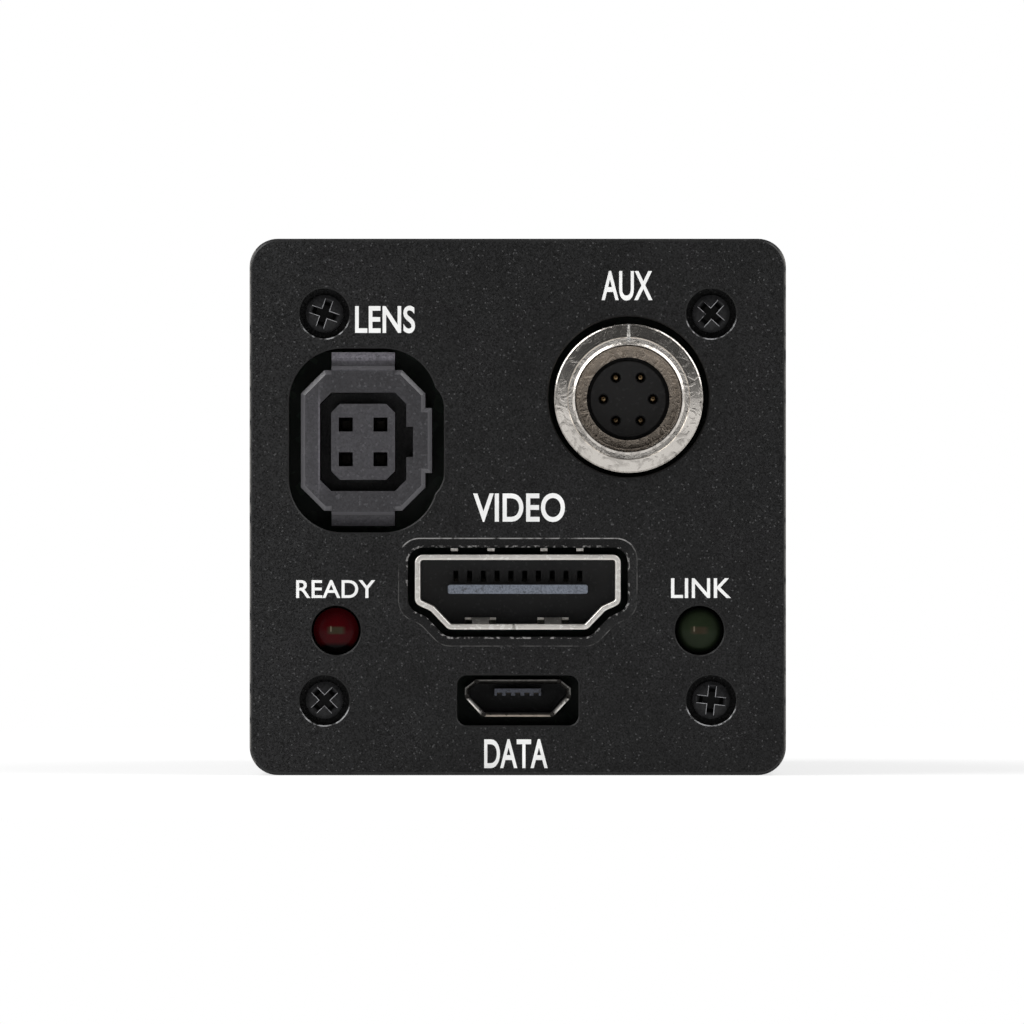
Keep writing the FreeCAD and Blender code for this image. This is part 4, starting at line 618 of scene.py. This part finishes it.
legend = {
    "lift": 0.012,  # mm above the coat
    "words": [  # text, centre x, foot z from the axis, letter height, width, all mm; stroke gain
        ("LENS", -9.4, 12.3, 1.95, 4.25, 0.018),
        ("AUX", 7.74, 14.62, 2.1, 3.6, 0.016),
        ("VIDEO", 0.09, -1.07, 2.05, 6.5, 0.017),
        ("READY", -12.9, -6.45, 1.27, 5.6, 0.01),
        ("LINK", 12.98, -6.45, 1.4, 4.25, 0.01),
        ("DATA", -0.13, -18.5, 2.05, 4.5, 0.017),
    ],
}


def makeLegend(text, x, z, height, width, weight):
    mesh = textMesh(text, weight)[0]
    for v in mesh.vertices:
        v.co = Vector(((v.co.x * width + x) * mm, panelFace - legend["lift"] * mm,
                       axisZ + (z + v.co.y * height) * mm))
    addPrint("legend_" + text.lower(), mesh, "camera_body")


for words in legend["words"]:
    makeLegend(*words)
print("legends printed:", len(legend["words"]))


# raised lip of the control socket's inner sleeve
lip = {
    "profile": [(4.0, 0.125), (3.83, 0.01), (3.8, 0.01), (3.71, 0.16), (3.71, 0.43), (4.0, 0.14)],  # radius, depth, mm
    "around": 180,
    "sharp": 25,  # degrees between faces from which an edge is sharp
}


def makeLip():
    middle, rows = midPoint("control_socket_shell"), len(lip["profile"])
    points, faces = [], []
    for i in range(lip["around"]):
        angle = 2 * math.pi * i / lip["around"]
        for radius, depth in lip["profile"]:
            points.append((middle.x + radius * mm * math.cos(angle), controlFront + depth * mm,
                           middle.z + radius * mm * math.sin(angle)))
        after = (i + 1) % lip["around"]
        for j in range(rows):
            k = (j + 1) % rows
            faces.append((i * rows + j, after * rows + j, after * rows + k, i * rows + k))
    mesh = bpy.data.meshes.new("control_lip")
    mesh.from_pydata(points, [], faces)
    mesh.shade_smooth()
    mesh.set_sharp_from_angle(angle=math.radians(lip["sharp"]))
    mesh.materials.append(finishes["control_nickel"])
    piece = addObject("control_lip", mesh)
    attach(piece, "camera_body")


makeLip()
print("control lip made")


# repeated details by geometry nodes

def newTree(name, inputs):
    tree = bpy.data.node_groups.new(name, "GeometryNodeTree")
    for label, kind in inputs.items():
        tree.interface.new_socket(label, in_out="INPUT", socket_type="NodeSocket" + kind)
    tree.interface.new_socket("Geometry", in_out="OUTPUT", socket_type="NodeSocketGeometry")
    return tree, addNode(tree, "NodeGroupInput").outputs, addNode(tree, "NodeGroupOutput")


def closeTree(tree, geometry, source, result):  # plain mesh with its material
    real = addNode(tree, "GeometryNodeRealizeInstances")
    paint = addNode(tree, "GeometryNodeSetMaterial")
    tree.links.new(geometry, real.inputs[0])
    tree.links.new(real.outputs[0], paint.inputs["Geometry"])
    tree.links.new(source["Finish"], paint.inputs["Material"])
    tree.links.new(paint.outputs[0], result.inputs[0])


def combine(tree, x, y, z):
    node = addNode(tree, "ShaderNodeCombineXYZ")
    for socket, value in zip(node.inputs, (x, y, z)):
        plug(tree, socket, value)
    return node.outputs[0]


def buildTicks():  # marks in a row round a line along Y, every fifth one longer
    tree, source, result = newTree("scaleTicks", {
        "Count": "Int", "Radius": "Float", "First": "Float", "Step": "Float", "Y": "Float", "Z": "Float",
        "Width": "Float", "Length": "Float", "Thickness": "Float", "Long": "Float", "Finish": "Material"})
    row = addNode(tree, "GeometryNodeMeshLine")
    tree.links.new(source["Count"], row.inputs["Count"])
    index = addNode(tree, "GeometryNodeInputIndex").outputs[0]
    angle = mathNode(tree, "ADD", source["First"], mathNode(tree, "MULTIPLY", index, source["Step"]))
    x = mathNode(tree, "MULTIPLY", source["Radius"], mathNode(tree, "COSINE", angle))
    up = mathNode(tree, "MULTIPLY", source["Radius"], mathNode(tree, "SINE", angle))
    place = addNode(tree, "GeometryNodeSetPosition")
    tree.links.new(row.outputs[0], place.inputs["Geometry"])
    tree.links.new(combine(tree, x, source["Y"], mathNode(tree, "ADD", up, source["Z"])), place.inputs["Position"])
    mark = addNode(tree, "GeometryNodeMeshCube")
    tree.links.new(combine(tree, source["Width"], source["Length"], source["Thickness"]), mark.inputs["Size"])
    shift = addNode(tree, "GeometryNodeTransform")
    tree.links.new(mark.outputs[0], shift.inputs["Geometry"])
    tree.links.new(combine(tree, 0.0, mathNode(tree, "MULTIPLY", source["Length"], 0.5), 0.0),
                   shift.inputs["Translation"])
    fifth = mathNode(tree, "LESS_THAN", mathNode(tree, "MODULO", index, 5.0), 0.5)
    gain = mathNode(tree, "MULTIPLY", fifth, mathNode(tree, "SUBTRACT", source["Long"], 1.0))
    onto = addNode(tree, "GeometryNodeInstanceOnPoints")
    tree.links.new(place.outputs[0], onto.inputs["Points"])
    tree.links.new(shift.outputs[0], onto.inputs["Instance"])
    tree.links.new(combine(tree, 0.0, mathNode(tree, "SUBTRACT", math.pi / 2, angle), 0.0), onto.inputs["Rotation"])
    tree.links.new(combine(tree, 1.0, mathNode(tree, "ADD", gain, 1.0), 1.0), onto.inputs["Scale"])
    closeTree(tree, onto.outputs[0], source, result)
    return tree


def buildThread():  # one ridge wound on a line along Z, then turned and moved
    steps, sides = 64, 4  # in a turn, and round the ridge
    tree, source, result = newTree("threadRidge", {
        "Turns": "Float", "Radius": "Float", "Pitch": "Float", "Ridge": "Float", "Tilt": "Float", "Place": "Vector",
        "Finish": "Material"})
    wind = addNode(tree, "GeometryNodeCurveSpiral")
    setInput(wind, "Resolution", steps)
    tree.links.new(source["Turns"], wind.inputs["Rotations"])
    for label in ("Start Radius", "End Radius"):
        tree.links.new(source["Radius"], wind.inputs[label])
    tree.links.new(mathNode(tree, "MULTIPLY", source["Turns"], source["Pitch"]), wind.inputs["Height"])
    section = addNode(tree, "GeometryNodeCurvePrimitiveCircle")
    setInput(section, "Resolution", sides)
    tree.links.new(source["Ridge"], section.inputs["Radius"])
    skin = addNode(tree, "GeometryNodeCurveToMesh")
    tree.links.new(wind.outputs[0], skin.inputs["Curve"])
    tree.links.new(section.outputs[0], skin.inputs["Profile Curve"])
    setInput(skin, "Fill Caps", True)
    turn = addNode(tree, "GeometryNodeTransform")
    tree.links.new(skin.outputs[0], turn.inputs["Geometry"])
    tree.links.new(combine(tree, source["Tilt"], 0.0, 0.0), turn.inputs["Rotation"])
    tree.links.new(source["Place"], turn.inputs["Translation"])
    closeTree(tree, turn.outputs[0], source, result)
    return tree


def growPiece(name, tree, values, body):
    piece = addObject(name, bpy.data.meshes.new(name))
    grown = piece.modifiers.new("grow", "NODES")
    grown.node_group = tree
    for item in tree.interface.items_tree:
        if item.in_out == "INPUT":
            grown[item.identifier] = values[item.name]
    mesh = frozenMesh(piece)
    piece.modifiers.remove(grown)
    piece.data = mesh
    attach(piece, body)


scaleTicks = buildTicks()
threadRidge = buildThread()
ringLow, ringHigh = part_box("focus_ring")
ringRadius = (ringHigh.x - ringLow.x) / 2
focusScale = {
    "turn": 100,  # degrees from far to near
    "count": 21,
    "rear": 0.35,  # mm from the ring's rear edge
    "width": 0.14, "length": 0.75, "thickness": 0.03,  # mm
    "long": 1.6,  # length of a longer mark to that of a plain one
    "numbers": ["5", "2", "1", "0.5", "0.3"],
    "numberHeight": 1.15, "numberRear": 1.75,  # mm
    "weight": 0.012,
}
scaleTurn = math.radians(focusScale["turn"])
growPiece("focus_scale", scaleTicks, {
    "Count": focusScale["count"], "Radius": ringRadius, "First": math.pi / 2,
    "Step": scaleTurn / (focusScale["count"] - 1), "Y": ringLow.y + focusScale["rear"] * mm, "Z": axisZ,
    "Width": focusScale["width"] * mm, "Length": focusScale["length"] * mm,
    "Thickness": focusScale["thickness"] * mm, "Long": focusScale["long"],
    "Finish": printInk}, "focus_control")


def makeNumber(index, text):  # wrapped on the focus ring, read from behind
    mesh, aspect = textMesh(text, focusScale["weight"])
    height = focusScale["numberHeight"] * mm
    outside = ringRadius + focusScale["thickness"] / 2 * mm
    middle = math.pi / 2 + scaleTurn * index / (len(focusScale["numbers"]) - 1)
    for v in mesh.vertices:
        angle = middle - v.co.x * aspect * height / outside
        v.co = Vector((outside * math.cos(angle), ringLow.y + focusScale["numberRear"] * mm + v.co.y * height,
                       axisZ + outside * math.sin(angle)))
    addPrint("focus_number_" + str(index), mesh, "focus_control")


for index, text in enumerate(focusScale["numbers"]):
    makeNumber(index, text)

collar = {"index": 1.0, "width": 0.2, "frontGap": 0.1, "ringGap": 0.3}  # mm, the last from collar to focus ring
barrelLow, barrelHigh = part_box("lens_barrel")
growPiece("focus_index", scaleTicks, {
    "Count": 1, "Radius": (barrelHigh.x - barrelLow.x) / 2, "First": math.pi / 2, "Step": 0.0,
    "Y": ringLow.y - (collar["ringGap"] + collar["frontGap"] + collar["index"]) * mm, "Z": axisZ,
    "Width": collar["width"] * mm, "Length": collar["index"] * mm, "Thickness": focusScale["thickness"] * mm,
    "Long": 1.0, "Finish": printInk}, "camera_body")

retainLow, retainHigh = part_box("front_retaining_ring")
filterThread = {"turns": 3.6, "pitch": 0.28, "ridge": 0.09, "rearGap": 0.1}  # mm, but for the turns
growPiece("filter_thread", threadRidge, {
    "Turns": filterThread["turns"], "Radius": (retainHigh.x - retainLow.x) / 2, "Pitch": filterThread["pitch"] * mm,
    "Ridge": filterThread["ridge"] * mm, "Tilt": -math.pi / 2,
    "Place": Vector((0, retainHigh.y + filterThread["rearGap"] * mm, axisZ)),
    "Finish": finishes["lens_black"]}, "optics")
tripodThread = {"turns": 3.2, "pitch": 1.27, "ridge": 0.28, "radius": 2.55, "mouth": 0.35}  # mm, but for the turns
growPiece("tripod_thread", threadRidge, {
    "Turns": tripodThread["turns"], "Radius": tripodThread["radius"] * mm, "Pitch": tripodThread["pitch"] * mm,
    "Ridge": tripodThread["ridge"] * mm, "Tilt": 0.0, "Place": Vector((0, 0, tripodThread["mouth"] * mm)),
    "Finish": finishes["mount_steel"]}, "camera_body")
print("scale, index and threads made")


# studio: pale floor, white surround, soft light from above
studio = {
    "floor": 3.0,  # half width, m
    "floorDrop": 0.02 * mm,  # below the object's foot
    "floorColor": (0.86, 0.86, 0.86),
    "shadowFrom": 0.05, "shadowTo": 0.18,  # m from the object, where the floor turns plain white
    "shadowShare": 0.35,
    "skyDiffuse": 0.4,
    "softSize": 0.7,
    "softs": {"leftSoft": ((-0.5, -0.15, 0.46), 6.2), "rightSoft": ((0.5, -0.15, 0.46), 4.0)},  # place, power
    "cardColor": (0.02, 0.02, 0.02),
    "cards": {  # corners of dark cards, before the object and over it
        "darkFlag": [(-0.75, -1.1, 0), (0.75, -1.1, 0), (0.75, -1.1, 1.15), (-0.75, -1.1, 1.15)],
        "darkCeiling": [(-0.3, -0.4, 0.9), (0.3, -0.4, 0.9), (0.3, 0.6, 0.9), (-0.3, 0.6, 0.9)],
    },
}


def addSheet(name, corners, material):
    mesh = bpy.data.meshes.new(name)
    mesh.from_pydata(corners, [], [(0, 1, 2, 3)])
    mesh.materials.append(material)
    return addObject(name, mesh)


def seenPlain(tree):  # 1 for rays that come from the camera, a gloss or a glass
    path = addNode(tree, "ShaderNodeLightPath")
    gloss = mathNode(tree, "MAXIMUM", path.outputs["Is Glossy Ray"], path.outputs["Is Transmission Ray"])
    return mathNode(tree, "MAXIMUM", path.outputs["Is Camera Ray"], gloss)


def makeFloor():
    material = bpy.data.materials.new("paleFloor")
    material.use_nodes = True
    tree = material.node_tree
    tree.nodes.clear()
    matt = addNode(tree, "ShaderNodeBsdfDiffuse")
    setInput(matt, "Color", (*studio["floorColor"], 1))
    white = addNode(tree, "ShaderNodeEmission")
    away = addNode(tree, "ShaderNodeVectorMath", operation="LENGTH")
    tree.links.new(objectCoords(tree), away.inputs[0])
    far = rampNode(tree, away.outputs["Value"], studio["shadowFrom"], studio["shadowTo"])
    share = mathNode(tree, "ADD", mathNode(tree, "MULTIPLY", far, studio["shadowShare"]), 1 - studio["shadowShare"])
    mix = addNode(tree, "ShaderNodeMixShader")
    tree.links.new(mathNode(tree, "MULTIPLY", seenPlain(tree), share), mix.inputs[0])
    tree.links.new(matt.outputs[0], mix.inputs[1])
    tree.links.new(white.outputs[0], mix.inputs[2])
    output = addNode(tree, "ShaderNodeOutputMaterial")
    tree.links.new(mix.outputs[0], output.inputs["Surface"])
    half = studio["floor"]
    floor = addSheet("floor", [(-half, -half, 0), (half, -half, 0), (half, half, 0), (-half, half, 0)], material)
    floor.location.z = -studio["floorDrop"]


def makeWorld():
    world = bpy.data.worlds.new("studio")
    bpy.context.scene.world = world
    world.use_nodes = True
    tree = world.node_tree
    sky = tree.nodes["Background"]
    plain = addNode(tree, "ShaderNodeLightPath").outputs["Is Camera Ray"]
    lift = mathNode(tree, "MULTIPLY", plain, 1 - studio["skyDiffuse"])
    tree.links.new(mathNode(tree, "ADD", lift, studio["skyDiffuse"]), sky.inputs["Strength"])
    setInput(sky, "Color", (1, 1, 1, 1))


def makeLamp(name, place, size, power):
    data = bpy.data.lights.new(name, "AREA")
    data.shape = "SQUARE"
    data.size = size
    data.energy = power
    lamp = addObject(name, data)
    lamp.location = place
    aim = Vector((0, panelFace, axisZ)) - Vector(place)
    lamp.rotation_euler = aim.to_track_quat("-Z", "Y").to_euler()


def makeCard(name, corners):  # dark card, seen in gloss only
    material = bpy.data.materials.new(name + "Cloth")
    material.use_nodes = True
    setInput(material.node_tree.nodes["Principled BSDF"], "Base Color", (*studio["cardColor"], 1))
    card = addSheet(name, corners, material)
    card.visible_camera = False
    card.visible_diffuse = False
    card.visible_shadow = False
    card.visible_transmission = False


view = {"distance": 1.0, "frameWidth": 72.53 * mm, "x": -0.41 * mm, "z": -0.36 * mm,  # m
        "sensor": 36, "nearest": 0.01}  # mm, m


def makeCamera():
    data = bpy.data.cameras.new("photoView")
    data.sensor_width = view["sensor"]
    data.lens = view["sensor"] * view["distance"] / view["frameWidth"]
    data.clip_start = view["nearest"]
    camera = addObject("photoView", data)
    camera.location = (view["x"], panelFace - view["distance"], axisZ + view["z"])
    camera.rotation_euler = (math.pi / 2, 0, 0)
    bpy.context.scene.camera = camera


makeFloor()
makeWorld()
for name, corners in studio["cards"].items():
    makeCard(name, corners)
for name, (place, power) in studio["softs"].items():
    makeLamp(name, place, studio["softSize"], power)
makeCamera()
bpy.context.scene.view_settings.view_transform = "Standard"
print("studio set")
